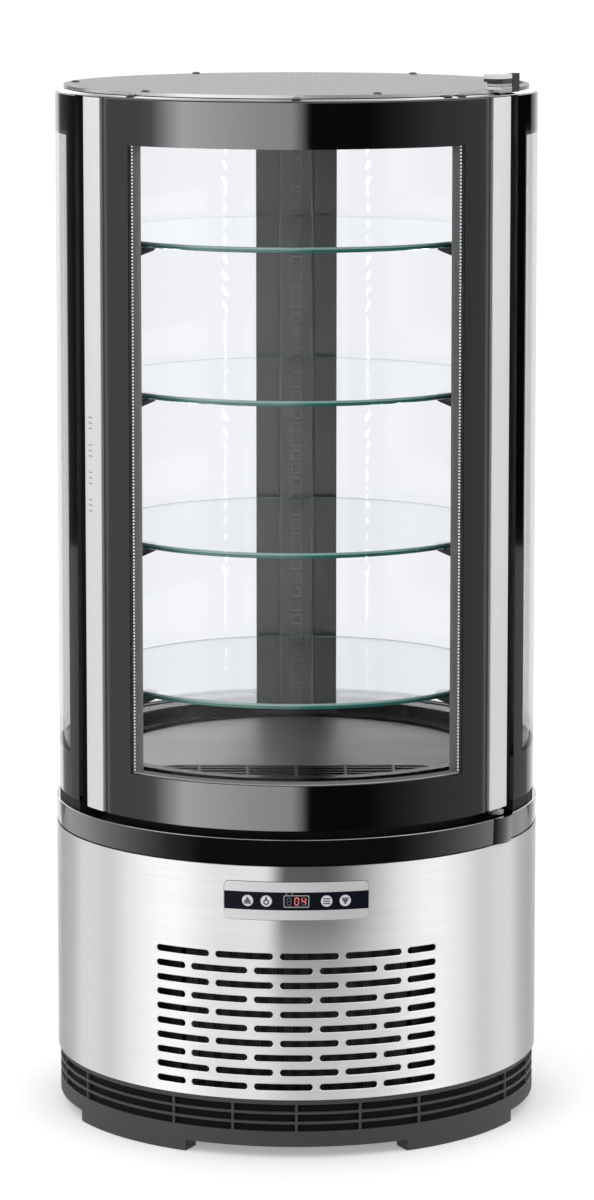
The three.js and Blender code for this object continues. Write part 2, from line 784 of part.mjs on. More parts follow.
// Insulated floor tub, with its cavity for the evaporator and the passage to the rear duct
{
  const tubTop = floorUnderside - clearance;
  const seatTop = sideGlassBottom - clearance;
  const body = join(
    zonedPlan(tubCavityRadius, tubBottom, tubTop),
    prism(disc(tubCavityRadius + overrun), tubBottom, tubFloor),
    prism(
      sector(tubCavityRadius + overrun, glassOuterRadius, sideGlassAngle, fullTurn - sideGlassAngle),
      collarTop + clearance,
      seatTop
    )
  );
  const passage = block(
    [-ductPassageWidth / 2, ductPassageFrom, tubTop - ductPassageDepth],
    [ductPassageWidth / 2, ductCoverBack, tubTop + overrun]
  );
  add(interior, "insulated_floor_tub", cut(body, [passage]), insulation);

  const ledge = zonedPlan(floorPlateRadius + clearance, floorUnderside, ledgeTop);
  const kerb = zonedPlan(kerbRadius, floorUnderside, kerbTop);
  const throughHole = block(
    [-ductPassageWidth / 2, ductPassageFrom, floorUnderside - overrun],
    [ductPassageWidth / 2, ductCoverBack, kerbTop + overrun]
  );
  const ductSeat = block(
    [-ductHalfWidth - clearance, ductPassageFrom, ledgeTop],
    [ductHalfWidth + clearance, bodyRadius, kerbTop + overrun]
  );
  const floorRing = cut(join(ledge, kerb), [
    throughHole.intersect(block([-bodyRadius, ridgeFront, 0], [bodyRadius, bodyRadius, kerbTop + overrun])),
    ductSeat,
  ]);
  add(interior, "floor_ring", floorRing, mattePlastic);
}

// Steel floor disc, and the grille that draws air down to the evaporator
{
  const grilleRadius = floorPlateRadius - grilleInset;
  const grilleFront = grilleRadius * grilleFrontShare;
  const grilleBack = grilleRadius * grilleBackShare;
  const outline = (inset) => {
    const radius = grilleRadius - inset;
    const front = grilleFront - inset;
    const back = grilleBack + inset;
    const half = grilleRadius * grilleHalfWidthShare - inset;
    const frontAngle = THREE.MathUtils.radToDeg(Math.acos(front / radius));
    const shoulder = grilleRadius * grilleShoulderShare;
    const shoulderAngle = THREE.MathUtils.radToDeg(Math.acos(shoulder / radius));
    const corner = planPoint(radius, shoulderAngle);
    const bend = new THREE.QuadraticBezierCurve(
      corner,
      new THREE.Vector2(corner.x, -back),
      new THREE.Vector2(half, -back)
    );
    const rim = arc(radius, frontAngle, shoulderAngle).slice(0, -1);
    const right = [...rim, ...bend.getPoints(grilleCornerSteps)];
    const left = right.map(({ x, y }) => new THREE.Vector2(-x, y)).reverse();
    return new THREE.Shape([...right, ...left]);
  };
  const hole = prism(outline(-clearance), floorUnderside - overrun, floorTop + overrun);
  const plate = prism(disc(floorPlateRadius), floorUnderside, floorTop);
  add(interior, "floor_plate", cut(plate, [hole]), brushedSteel);

  const top = floorTop + grilleProud;
  const slotZone = prism(outline(grilleRim), floorUnderside - overrun, top + overrun);
  const slotPitch = (grilleFront - grilleBack - grilleRim) / grilleSlots;
  const cells = [];
  for (let slot = 0; slot < grilleSlots; slot++) {
    const middle = -grilleBack - grilleRim / 2 - slotPitch * (slot + 1 / 2);
    for (let bay = -grilleRibCount; bay <= grilleRibCount; bay++) {
      const from = bay * grilleRibPitch + grilleRibWidth / 2;
      const to = (bay + 1) * grilleRibPitch - grilleRibWidth / 2;
      const cell = block(
        [from, middle - grilleSlotHeight / 2, floorUnderside - overrun],
        [to, middle + grilleSlotHeight / 2, top + overrun]
      );
      cells.push(cell.intersect(slotZone));
    }
  }
  const openCells = cells.filter((cell) => !cell.isEmpty());
  add(interior, "floor_grille", cut(prism(outline(0), floorUnderside, top), openCells), mattePlastic);
}

// Evaporator and the impeller that pushes its cold air into the rear duct
{
  const coil = add(
    interior,
    "evaporator_coil",
    finnedCoil(evaporatorWidth, evaporatorLength, evaporatorHeight, evaporatorFins),
    copperFins
  );
  coil.position.set(0, evaporatorPlace, tubFloor + clearance);

  const hubTop = impellerHeight / 2;
  const blades = [];
  for (let blade = 0; blade < impellerBlades; blade++) {
    const geometry = new THREE.BoxGeometry(impellerBladeLength, impellerPlate, impellerHeight);
    geometry.rotateZ(radians(fanBladePitch));
    geometry.translate(impellerRadius - impellerBladeLength / 2, 0, impellerHeight / 2);
    blades.push(solid(geometry.rotateZ((2 * Math.PI * blade) / impellerBlades)));
  }
  const wheel = cut(
    join(
      bar(impellerRadius, 0, impellerPlate, wheelSides),
      bar(impellerHubRadius, 0, hubTop, buttonSides),
      ...blades
    ),
    [bar(shaftRadius + clearance, -overrun, impellerHeight, shaftSides)]
  );
  const fan = add(interior, "evaporator_fan", wheel, mattePlastic);
  const motorTop = tubFloor + clearance + evaporatorMotorHeight;
  fan.position.set(0, impellerPlace, motorTop + fanRunningGap);

  const motor = join(
    bar(evaporatorMotorRadius, tubFloor + clearance, motorTop, wheelSides),
    bar(shaftRadius, motorTop - overrun, motorTop + fanRunningGap + hubTop, shaftSides)
  );
  add(interior, "evaporator_fan_motor", motor, sheetSteel).position.y = impellerPlace;
}

// Rear air duct: a ridged channel with a row of air holes and a clip under each shelf
const shelfTops = [];
const firstShelfTop = floorTop + firstShelfHeight;
const shelfPitch = (ceilingBottom - topShelfRoom - firstShelfTop) / (shelfCount - 1);
for (let shelf = 0; shelf < shelfCount; shelf++) shelfTops.push(firstShelfTop + shelf * shelfPitch);
const ductBottom = ledgeTop + clearance;
{
  const wingFront = ridgeFront + wingSetback;
  const halfOutline = [
    [ridgeHalfWidth, ridgeFront],
    [ridgeHalfWidth, wingFront],
    [ductHalfWidth, wingFront],
    [ductHalfWidth, ductBack],
    [ductHalfWidth - ductWall, ductBack],
    [ductHalfWidth - ductWall, wingFront + ductWall],
    [ridgeHalfWidth - ductWall, wingFront + ductWall],
    [ridgeHalfWidth - ductWall, ridgeFront + ductWall],
  ];
  const left = halfOutline.map(([x, y]) => [-x, y]).reverse();
  const outline = [...halfOutline, ...left].map(([x, y]) => new THREE.Vector2(x, y));
  const channel = prism(new THREE.Shape(outline), ductBottom, liningTop);
  const clips = shelfTops.map((shelfTop) => {
    const top = shelfTop - shelfThickness - clearance;
    return block(
      [-rearClipWidth / 2, ridgeFront - rearClipReach, top - clipRootHeight],
      [rearClipWidth / 2, ridgeFront + ductWall / 2, top]
    );
  });
  const holes = [];
  const lastHole = liningTop - ductHoleMargin - ductHole;
  for (let bottom = ductBottom + ductHoleMargin; bottom < lastHole; bottom += ductHolePitch) {
    holes.push(
      block(
        [-ductHole / 2, ridgeFront - overrun, bottom],
        [ductHole / 2, ridgeFront + ductWall + overrun, bottom + ductHole]
      )
    );
  }
  add(interior, "rear_duct", join(cut(channel, holes), ...clips), ductGrey);

  const cover = block(
    [-ductHalfWidth, ductBack + clearance, ductBottom],
    [ductHalfWidth, ductCoverBack, liningTop]
  );
  add(interior, "rear_duct_cover", cover, mattePlastic);
}

// Front uprights with a light strip each, and the clips that hold the shelves
{
  const bottom = kerbTop + clearance;
  const lap = uprightStepRadius - overrun;
  const ledOuter = uprightInnerRadius - clearance;
  for (const [name, side] of Object.entries(sides)) {
    const back = sideSector(side, uprightInnerRadius, uprightStepRadius, uprightBackFrom, uprightTo);
    const upright = join(
      prism(sideSector(side, lap, frontFaceRadius, uprightFrom, uprightStepAt), bottom, liningTop),
      prism(back, bottom, liningTop),
      prism(sideSector(side, lap, linerRadius, uprightWallFrom, uprightTo), bottom, liningTop)
    );
    add(interior, "upright_" + name, upright, mattePlastic);
    const strip = sideSector(side, ledOuter - ledThickness, ledOuter, ledFrom, ledTo);
    add(interior, "led_strip_" + name, prism(strip, bottom + ledEndGap, liningTop - ledEndGap), lampWhite);
  }

  const root = uprightInnerRadius - 2 * clearance;
  const profile = new THREE.Shape([
    new THREE.Vector2(-root, 0),
    new THREE.Vector2(-root, -clipRootHeight),
    new THREE.Vector2(-clipTipRadius, -clipTipHeight),
    new THREE.Vector2(-clipTipRadius, 0),
  ]);
  const clipGeometry = new THREE.ExtrudeGeometry(profile, { depth: clipWidth, bevelEnabled: false });
  clipGeometry.translate(0, 0, -clipWidth / 2).rotateX(Math.PI / 2).rotateZ(Math.PI / 2);
  const clip = solid(clipGeometry);
  shelfTops.forEach((shelfTop, index) => {
    for (const [name, side] of Object.entries(sides)) {
      const piece = add(interior, "shelf_clip_" + name + "_" + (index + 1), clip, rubber);
      piece.rotation.z = radians(side * clipAngle);
      piece.position.z = shelfTop - shelfThickness - clearance;
    }
    const shelf = add(
      interior,
      "glass_shelf_" + (index + 1),
      prism(disc(shelfRadius), -shelfThickness, 0),
      clearGlass
    );
    shelf.position.z = shelfTop;
  });
}

// Curved double glazing: two panes with a black edge frame between them
function edgeFrame(inner, outer, halfAngle, windowAngle, middle, bottom, top, lowBand, highBand) {
  const arcBand = sector(inner, outer, middle - halfAngle, middle + halfAngle);
  const post = (from, to) => prism(sector(inner, outer, middle + from, middle + to), bottom, top);
  return join(
    prism(arcBand, bottom, bottom + lowBand),
    prism(arcBand, top - highBand, top),
    post(-halfAngle, -windowAngle),
    post(windowAngle, halfAngle)
  );
}

// Side and rear glazing, one unit from one front edge round the back to the other
{
  const half = halfTurn - sideGlassAngle;
  const pane = (inner, outer) =>
    prism(sector(inner, outer, sideGlassAngle, fullTurn - sideGlassAngle), sideGlassBottom, sideGlassTop);
  add(interior, "side_glass_outer", pane(glassOuterRadius - paneThickness, glassOuterRadius), clearGlass);
  add(interior, "side_glass_inner", pane(sideInnerRadius, sideInnerRadius + paneThickness), clearGlass);
  const frame = edgeFrame(
    sideInnerRadius + paneThickness + clearance,
    paneCavityOuter,
    half,
    half - sideBandAngle,
    halfTurn,
    sideGlassBottom,
    sideGlassTop,
    sideBandBottom,
    sideGlassTop - ceilingBottom
  );
  add(interior, "side_glass_frame", frame, blackPrint);
}

// Roof: insulated ceiling, rim ring, cover plate, and the fixed half of the upper hinge
{
  const ceiling = join(
    zonedPlan(roofPlateRadius / 2, ceilingBottom, sideGlassTop),
    prism(disc(roofPlateRadius / 2 + overrun), ceilingBottom, sideGlassTop)
  );
  add(interior, "ceiling_panel", ceiling, insulation);

  const holeRadius = hingePinRadius + 2 * clearance;
  const holeBottom = roofRingBottom - overrun;
  const pinHole = bar(holeRadius, holeBottom, roofRingTop + overrun, hingeSides, hingeX, hingeY);
  const rim = prism(ring(glassOuterRadius - roofRingWidth, glassOuterRadius), roofRingBottom, roofRingTop);
  add(interior, "roof_ring", cut(rim, [pinHole]), glossPlastic);

  const plateBottom = roofRingTop + clearance;
  const bracketFrom = hingeCapWidth / 2 + clearance;
  const notch = block(
    [-hingeBlockWidth / 2 - clearance, -bodyRadius, plateBottom - overrun],
    [
      bracketFrom + bracketWidth + clearance,
      -hingeRadius + hingeBlockRadial / 2 + clearance,
      plateBottom + roofPlateThickness + overrun,
    ],
    hingeAngle
  );
  const plate = prism(disc(roofPlateRadius), plateBottom, plateBottom + roofPlateThickness);
  add(interior, "roof_plate", cut(plate, [notch]), roofGrey);

  const capHalf = hingeCapWidth / 2;
  const capRadialHalf = hingeCapRadial / 2;
  const capShape = new THREE.Shape([
    new THREE.Vector2(-capHalf, capRadialHalf),
    new THREE.Vector2(-capHalf, hingeCapChamfer - capRadialHalf),
    new THREE.Vector2(hingeCapChamfer - capHalf, -capRadialHalf),
    new THREE.Vector2(capHalf - hingeCapChamfer, -capRadialHalf),
    new THREE.Vector2(capHalf, hingeCapChamfer - capRadialHalf),
    new THREE.Vector2(capHalf, capRadialHalf),
  ]);
  const blockTop = plateBottom + hingeBlockHeight;
  const hinge = join(
    block(
      [-hingeBlockWidth / 2, -hingeBlockRadial / 2, plateBottom],
      [hingeBlockWidth / 2, hingeBlockRadial / 2, blockTop]
    ),
    prism(capShape, blockTop, blockTop + hingeCapHeight),
    bar(hingePinRadius, doorTop - hingePinDepth, plateBottom + overrun, hingeSides)
  );
  const upper = add(interior, "upper_hinge_block", hinge, chrome);
  upper.rotation.z = hingeTurn;
  upper.position.set(hingeX, hingeY, 0);

  const bracket = block(
    [bracketFrom, -bracketRadius - bracketRadial / 2, plateBottom],
    [bracketFrom + bracketWidth, -bracketRadius + bracketRadial / 2, plateBottom + bracketHeight],
    hingeAngle
  );
  add(interior, "upper_hinge_bracket", bracket, mattePlastic);
}

// Door: double glazing between two metal profiles, with a gasket round its inner face
{
  const pane = (inner, outer) =>
    prism(sector(inner, outer, -doorGlassAngle, doorGlassAngle), doorBottom, doorTop);
  add(door, "door_glass_outer", pane(glassOuterRadius - paneThickness, glassOuterRadius), clearGlass);
  add(door, "door_glass_inner", pane(doorInnerRadius, doorInnerRadius + paneThickness), clearGlass);
  const frame = edgeFrame(
    doorInnerRadius + paneThickness + clearance,
    paneCavityOuter,
    doorGlassAngle,
    doorWindowAngle,
    0,
    doorBottom,
    doorTop,
    doorBandHeight,
    doorBandHeight
  );
  add(door, "door_glass_frame", frame, blackPrint);

  const gasket = edgeFrame(
    frontFaceRadius + clearance,
    doorInnerRadius - clearance,
    gasketTo,
    gasketFrom,
    0,
    doorBottom + gasketInset,
    doorTop - gasketInset,
    gasketHeight,
    gasketHeight
  );
  add(door, "door_gasket", gasket, rubber);

  const bodyFrom = doorGlassAngle + angleOf(clearance, doorInnerRadius);
  const faceInner = glassOuterRadius - stripThickness;
  const profile = (side, bodyTo) => {
    const face = sideSector(side, faceInner, glassOuterRadius, stripFrom, stripTo);
    const body = sideSector(side, doorInnerRadius, faceInner + overrun, stripFrom, bodyTo);
    const edge = sideSector(side, doorInnerRadius, faceInner, bodyFrom, stripFrom + lapAngle);
    return join(...[face, body, edge].map((shape) => prism(shape, doorBottom, doorTop)));
  };
  const boreRadius = hingePinRadius + clearance;
  const pinBore = bar(boreRadius, doorBottom - overrun, doorTop + overrun, hingeSides, hingeX, hingeY);
  add(door, "hinge_profile", cut(profile(sides.right, stripTo), [pinBore]), anodised);
  add(door, "handle_profile", profile(sides.left, handleBodyTo), anodised);
}

export default cabinet;
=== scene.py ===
import math
import bmesh
import bpy
from mathutils import Matrix, Vector


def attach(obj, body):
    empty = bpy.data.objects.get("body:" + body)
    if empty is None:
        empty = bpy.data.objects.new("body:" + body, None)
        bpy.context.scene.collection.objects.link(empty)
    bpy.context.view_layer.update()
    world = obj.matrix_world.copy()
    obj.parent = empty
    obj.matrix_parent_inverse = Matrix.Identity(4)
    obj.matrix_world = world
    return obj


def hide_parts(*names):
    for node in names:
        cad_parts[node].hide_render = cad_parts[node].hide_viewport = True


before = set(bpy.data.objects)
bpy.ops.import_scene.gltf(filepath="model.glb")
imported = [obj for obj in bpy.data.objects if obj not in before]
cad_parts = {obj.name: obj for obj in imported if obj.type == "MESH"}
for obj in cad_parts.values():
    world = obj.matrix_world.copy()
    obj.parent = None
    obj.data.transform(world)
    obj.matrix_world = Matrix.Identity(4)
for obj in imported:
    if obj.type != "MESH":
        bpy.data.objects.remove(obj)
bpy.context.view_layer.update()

# The photographer's set: a long lens from just above the cabinet, a white room, and a pale floor.
# The room is white to the eye. What gloss and steel mirror is a studio of white screens and a black
# flag, laid out by direction, because a round cabinet shows the whole studio as upright bands.
scene = bpy.context.scene
scene.view_settings.view_transform = "Standard"
camera = bpy.data.objects.new("camera", bpy.data.cameras.new("camera"))
camera.data.lens = 136.5
camera.data.shift_x = 0.0005
camera.data.shift_y = -0.0875
camera.location = (0, -4.2002, 1.1626)
camera.rotation_euler = (math.radians(82), 0, 0)
scene.collection.objects.link(camera)
scene.camera = camera


class Wire:
    """A socket of a material or world, so that shader sums are written as sums."""

    def __init__(self, tree, socket=None):
        self.tree = tree
        self.socket = socket

    def node(self, kind, settings=None, sockets=None, out=0):
        made = self.tree.nodes.new("ShaderNode" + kind)
        for name, value in (settings or {}).items():
            if name == "stops":
                ramp = made.color_ramp
                ramp.elements[0].position, ramp.elements[1].position = value[0][0], value[-1][0]
                ramp.elements[0].color, ramp.elements[1].color = value[0][1], value[-1][1]
                for place, colour in value[1:-1]:
                    ramp.elements.new(place).color = colour
            else:
                setattr(made, name, value)
        for name, value in (sockets or {}).items():
            if isinstance(value, Wire):
                self.tree.links.new(value.socket, made.inputs[name])
            else:
                made.inputs[name].default_value = value
        return Wire(self.tree, made.outputs[out]) if made.outputs else None

    def part(self, name):
        return Wire(self.tree, self.socket.node.outputs[name])

    def sum(self, operation, *terms):
        return self.node("Math", {"operation": operation}, dict(enumerate(terms)))

    def __add__(self, other):
        return self.sum("ADD", self, other)

    def __sub__(self, other):
        return self.sum("SUBTRACT", self, other)

    def __rsub__(self, other):
        return self.sum("SUBTRACT", other, self)

    def __mul__(self, other):
        return self.sum("MULTIPLY", self, other)

    def __truediv__(self, other):
        return self.sum("DIVIDE", self, other)

    def __pow__(self, other):
        return self.sum("POWER", self, other)

    def __gt__(self, other):
        return self.sum("GREATER_THAN", self, other)

    def __lt__(self, other):
        return self.sum("LESS_THAN", self, other)

    __radd__ = __add__
    __rmul__ = __mul__

    def tint(self, low, high):
        """A colour between low and high, by this value."""
        return self.node("Mix", {"data_type": "RGBA"}, {0: self, 6: low, 7: high}, out=2)

    def noise(self, scale, detail, **more):
        """Soft noise at this place."""
        return self.node("TexNoise", None, {"Vector": self, "Scale": scale, "Detail": detail, **more})

    def bump(self, strength, depth):
        """A normal that is bent by this height."""
        return self.node("Bump", None, {"Strength": strength, "Distance": depth, "Height": self})

    def place(self):
        return self.node("TexCoord", out="Object")

    def spot(self):
        """The place as three numbers: X, and by part() also Y and Z."""
        return self.node("SeparateXYZ", None, {0: self.place()})

    def finish(self, sockets, **more):
        """Ends a material with one shader for all it is made of."""
        sockets.update({name.replace("_", " "): value for name, value in more.items()})
        self.node("OutputMaterial", None, {0: self.node("BsdfPrincipled", None, sockets)})


def grey(value):
    return (value, value, value, 1)


def screens(sky, turn, table, gain):
    """Brightness of a ring of studio screens, from (degrees from the front, brightness) pairs."""
    stops = [(angle / 360 + 0.5, grey(light / gain)) for angle, light in table]
    return sky.node("ValToRGB", {"stops": stops}, {0: turn}) * gain


world = bpy.data.worlds.new("studio")
scene.world = world
world.use_nodes = True
world.node_tree.nodes.clear()
sky = Wire(world.node_tree)
toward = sky.node("SeparateXYZ", None, {0: sky.node("TexCoord", out="Generated")})
turn = sky.sum("ARCTAN2", toward, toward.part("Y") * -1) / math.tau + 0.5
rise = toward.part("Z")
top_light = 4
upper = [(-180, 1.55), (-165, 1.55), (-152, 2.75), (-144, 2.5), (-128, 1.8), (-120, 1.1), (-104, 1.5),
         (-96, 2.5), (-80, 3), (-68, 2.9), (-56, 2), (-48, 1.75), (-36, 1.5), (-28, 1.7), (-18, 2),
         (-10, 1.35), (-2, 1), (6, 1.65), (24, 1.7), (34, 1.95), (42, 1.9), (56, 2.55), (68, 3.1),
         (84, 2.9), (98, 2.3), (105, 1.5), (120, 1.1), (128, 1.8), (144, 2.45), (152, 2.75),
         (165, 1.55), (180, 1.55)]
by_door = [(-180, 0.95), (-160, 0.95), (-155, 0.2), (-151, 0.1), (-129, 0), (-125, 1.05),
           (-104.5, 1.05), (-101.5, 0.26), (-80, 0.3), (-72, 0.4), (-63, 1.3), (-55, 2.15), (-42, 1.95),
           (-20, 1.55), (-2, 1.4), (6, 0), (34, 0), (52, 0.06), (70, 0.15), (101.5, 0.2), (104.5, 1.05),
           (125, 1.05), (129, 0), (149, 0), (154, 0.36), (158, 0.4), (163, 0.75), (180, 0.75)]
by_collar = [(-180, 0.45), (-152, 0.5), (-140, 0.85), (-122, 0.95), (-98, 0.62), (-80, 0.36),
             (-64, 0.12), (-46, 0.01), (48, 0.01), (64, 0.12), (80, 0.3), (98, 0.55), (122, 0.9),
             (140, 0.85), (152, 0.5), (180, 0.45)]
door_foot, collar_foot, nadir = -0.224, -0.43, -0.72
door_zone = (rise > door_foot) * (rise < 0)
collar_zone = (rise > collar_foot) * (rise < door_foot)
straight_down = rise < nadir
aside = sky.sum("ABSOLUTE", turn - 0.5)
side_strength = 0.18
low_sides = sky.sum("MAXIMUM", (rise < -0.15) * (aside > 0.35), (rise < -0.0597) * (aside > 0.392))
studio = (
    screens(sky, turn, upper, top_light) * (1 - door_zone - collar_zone - straight_down) + straight_down
    + (screens(sky, turn, by_door, top_light) + low_sides * side_strength) * door_zone
    + screens(sky, turn, by_collar, top_light) * collar_zone
)
ray = sky.node("LightPath", out="Is Camera Ray")
seen = sky.sum("MAXIMUM", ray, ray.part("Is Transmission Ray"))
mirrored = ray.part("Is Glossy Ray") * (1 - seen)
room_light = 0.8
light = studio * mirrored * room_light + seen + (1 - seen) * (1 - mirrored) * room_light
sky.node("OutputWorld", None, {0: sky.node("Background", None, {0: grey(1), "Strength": light})})

key = bpy.data.lights.new("soft_box", "AREA")
key.shape = "RECTANGLE"
key.size, key.size_y = 1.6, 2.2
key.energy = 16
soft_box = bpy.data.objects.new("soft_box", key)
soft_box.location = (-2.2, -2.6, 2.6)
cabinet_middle = Vector((0, 0, 0.5))
soft_box.rotation_euler = (cabinet_middle - soft_box.location).to_track_quat("-Z", "Y").to_euler()
soft_box.visible_glossy = False
scene.collection.objects.link(soft_box)


def new_material(name):
    made = bpy.data.materials.new(name)
    made.use_nodes = True
    made.node_tree.nodes.clear()
    return made, Wire(made.node_tree)


paper_tone, paper_glow, paper_radius = 0.93, 0.3, 60
white_paper, mix = new_material("white_paper")
eye = mix.node("LightPath", out="Is Camera Ray")
glow = mix.node("Emission", None, {0: grey(1), "Strength": eye * paper_glow})
paper = mix.node("BsdfDiffuse", None, {0: grey(paper_tone)})
mix.node("OutputMaterial", None, {0: mix.node("AddShader", None, {0: paper, 1: glow})})
sheet = bmesh.new()
bmesh.ops.create_circle(sheet, cap_ends=True, segments=64, radius=paper_radius)
floor_mesh = bpy.data.meshes.new("floor")
sheet.to_mesh(floor_mesh)
sheet.free()
floor_mesh.materials.append(white_paper)
floor = bpy.data.objects.new("floor", floor_mesh)
floor.visible_glossy = False
scene.collection.objects.link(floor)


# Plinth: one ring moulded in dark grey plastic, with three rows of vent slots between thin ribs
# and four wide feet. The steel shell sits down on its rim and the base pan inside on its flange.
MM = 0.001
square_corner = 0.02


def outline(shape, width, height, corner, x=0, z=0, y=0, points=16):
    """A loop of edges on the flat, facing -Y: a circle that is pulled out to width and height."""
    turn = Matrix.Rotation(math.pi / points, 4, "Z")
    ring = bmesh.ops.create_circle(shape, segments=points, radius=corner, matrix=turn)["verts"]
    for vert in ring:
        along = vert.co.x + math.copysign(width / 2 - corner, vert.co.x)
        up = vert.co.y + math.copysign(height / 2 - corner, vert.co.y)
        vert.co = Vector((x + along, y, z + up))
    return list(dict.fromkeys(edge for vert in ring for edge in vert.link_edges))


def punched(rim, holes, wall, lip=0.0):
    """A flat plate with holes. rim and each hole are (width, height, corner, x, z)."""
    shape = bmesh.new()
    width, height, corner, x, z = rim
    front = outline(shape, width, height, corner, x, z)
    back = outline(shape, width, height, corner, x, z, wall)
    bmesh.ops.bridge_loops(shape, edges=front + back)
    for width, height, corner, x, z in holes:
        mouth = outline(shape, width + 2 * lip, height + 2 * lip, corner + lip, x, z)
        if lip:
            edge = outline(shape, width, height, corner, x, z, lip)
            bmesh.ops.bridge_loops(shape, edges=mouth + edge)
        else:
            edge = mouth
        tail = outline(shape, width, height, corner, x, z, wall)
        bmesh.ops.bridge_loops(shape, edges=edge + tail)
        front += mouth
        back += tail
    bmesh.ops.triangle_fill(shape, edges=front, use_beauty=True)
    bmesh.ops.triangle_fill(shape, edges=back, use_beauty=True)
    return shape


def faced(shape):
    """Turns every face outwards."""
    bmesh.ops.recalc_face_normals(shape, faces=shape.faces)
    return shape


def cut(shape, place, normal, near=1e-4, **cleared):
    """Cuts a shape's faces along a plane, and clears one side of it if asked to."""
    everything = [*shape.verts, *shape.edges, *shape.faces]
    bmesh.ops.bisect_plane(shape, geom=everything, plane_co=place, plane_no=normal, dist=near, **cleared)


def rolled(shape, radius, half_width, pitch):
    """Cuts a flat plate into upright strips and rolls it round the cabinet's axis: its face goes to
    the radius."""
    count = max(1, round(2 * half_width / pitch))
    for strip in range(1, count):
        cut(shape, (-half_width + 2 * half_width * strip / count, 0, 0), (1, 0, 0), near=1e-5)
    for vert in shape.verts:
        angle = vert.co.x / radius
        reach = radius - vert.co.y
        vert.co = Vector((reach * math.sin(angle), -reach * math.cos(angle), vert.co.z))
    return shape


def moved(shape, x=0, y=0, z=0, turn=0):
    """Moves a shape, and then turns it round the cabinet's axis, by degrees."""
    bmesh.ops.translate(shape, vec=(x, y, z), verts=shape.verts)
    if turn:
        matrix = Matrix.Rotation(math.radians(turn), 3, "Z")
        bmesh.ops.rotate(shape, verts=shape.verts, matrix=matrix)
    return shape


def rectangle(inner, outer, low, high):
    """The section of a plain ring or bar, from (radius, height) corners."""
    return [(inner, low), (outer, low), (outer, high), (inner, high)]


def spun(section, start=0.0, turn=360.0, step=1.5):
    """Turns a (radius, height) section round the cabinet's axis, from an angle from the front."""
    shape = bmesh.new()
    begin = math.radians(start)
    corners = [
        shape.verts.new((radius * math.sin(begin), -radius * math.cos(begin), height))
        for radius, height in section
    ]
    whole = turn == 360
    if whole:
        pairs = list(zip(corners, corners[1:]))
        if section[0][0] > 0:
            pairs.append((corners[-1], corners[0]))
        parts = corners + [shape.edges.new(pair) for pair in pairs]
    else:
        face = shape.faces.new(corners)
        parts = [*corners, *face.edges, face]
    bmesh.ops.spin(shape, geom=parts, axis=(0, 0, 1), cent=(0, 0, 0), angle=math.radians(turn),
                   steps=max(1, round(turn / step)), use_merge=whole)
    bmesh.ops.remove_doubles(shape, verts=shape.verts, dist=1e-4)
    return faced(shape)


def eased(shape, width, segments=2, over=40):
    """Rounds every edge that is sharper than an angle in degrees."""
    sharp = [edge for edge in shape.edges
             if edge.is_manifold and edge.calc_face_angle() > math.radians(over)]
    bmesh.ops.bevel(shape, geom=sharp, offset=width, offset_type="OFFSET", segments=segments,
                    profile=0.5, affect="EDGES", material=-1, clamp_overlap=True)
    return shape


def painted(shape, paint_of):
    """Gives each face the number of its paint, worked out from the face and its middle."""
    for face in shape.faces:
        face.material_index = int(paint_of(face, face.calc_center_median()))
    return shape


def joined(*shapes):
    whole = bmesh.new()
    for shape in shapes:
        mesh = bpy.data.meshes.new("part")
        shape.to_mesh(mesh)
        shape.free()
        whole.from_mesh(mesh)
        bpy.data.meshes.remove(mesh)
    return whole


def placed(name, shape, body, slot, *paints, replaces=(), flat=True):
    """Makes a shape in millimetres into a piece of the cabinet, in metres. Its flat faces shade flat."""
    bmesh.ops.scale(faced(shape), vec=(MM, MM, MM), verts=shape.verts)
    for face in shape.faces:
        face.smooth = True
    mesh = bpy.data.meshes.new(name)
    shape.to_mesh(mesh)
    shape.free()
    mesh.set_sharp_from_angle(angle=math.radians(35))
    for paint in paints:
        mesh.materials.append(paint)
    made = bpy.data.objects.new(name, mesh)
    scene.collection.objects.link(made)
    if flat:
        made.modifiers.new("flat_faces", "WEIGHTED_NORMAL").keep_sharp = True
    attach(made, body)
    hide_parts(*replaces)


def shade(colour, share):
    """A colour with a share of its light, for the darker tone of an uneven surface."""
    return tuple(part * share for part in colour[:3]) + (1,)


def grained(name, colour, roughness, scale=900, depth=0.03, spread=0.12, patch=14, **more):
    """Moulded plastic: a fine spark-eroded grain in its bump, with slightly uneven gloss."""
    made, mix = new_material(name)
    place = mix.place()
    broad = place.noise(patch, 3)
    sockets = {"Base Color": broad.tint(shade(colour, 0.88), colour),
               "Roughness": broad * spread + roughness}
    if depth:
        sockets["Normal"] = place.noise(scale, 4).bump(depth, 0.0004)
    mix.finish(sockets, **more)
    return made


plinth_radius, plinth_top, skirt_low, skirt_wall = 223, 54, 10.4, 3
vent_low, vent_height, vent_pitch, rib_width, lip, join = 24.4, 6.7, 9.1, 2.4, 0.4, 0.03
foot_angles, foot_arc, foot_top, foot_depth = (45, 135, 225, 315), 36.6, 13, 20
matte_plastic = grained("matte_plastic", (0.038, 0.038, 0.04, 1), 0.45)
# Near black for the hinge bracket, and painted shade on the feet's faces that don't face out.
black_and_foot_shade = grained("black_and_foot_shade", grey(0.006), 0.6, scale=300, depth=0.1)
rib_angles = [angle for angle in range(0, 361, 15) if angle not in foot_angles]
vents = []
for first, last in zip(rib_angles, rib_angles[1:]):
    length = math.radians(last - first) * plinth_radius - rib_width
    middle = math.radians((first + last) / 2 - 180) * plinth_radius
    for row in range(3):
        vents.append((length, vent_height, 0.5, middle, vent_low + vent_height / 2 + row * vent_pitch))
half_round = math.pi * plinth_radius
skirt_rim = (2 * half_round, plinth_top - skirt_low, square_corner, 0, (plinth_top + skirt_low) / 2)
skirt = rolled(punched(skirt_rim, vents, skirt_wall, lip), plinth_radius, half_round, 8)
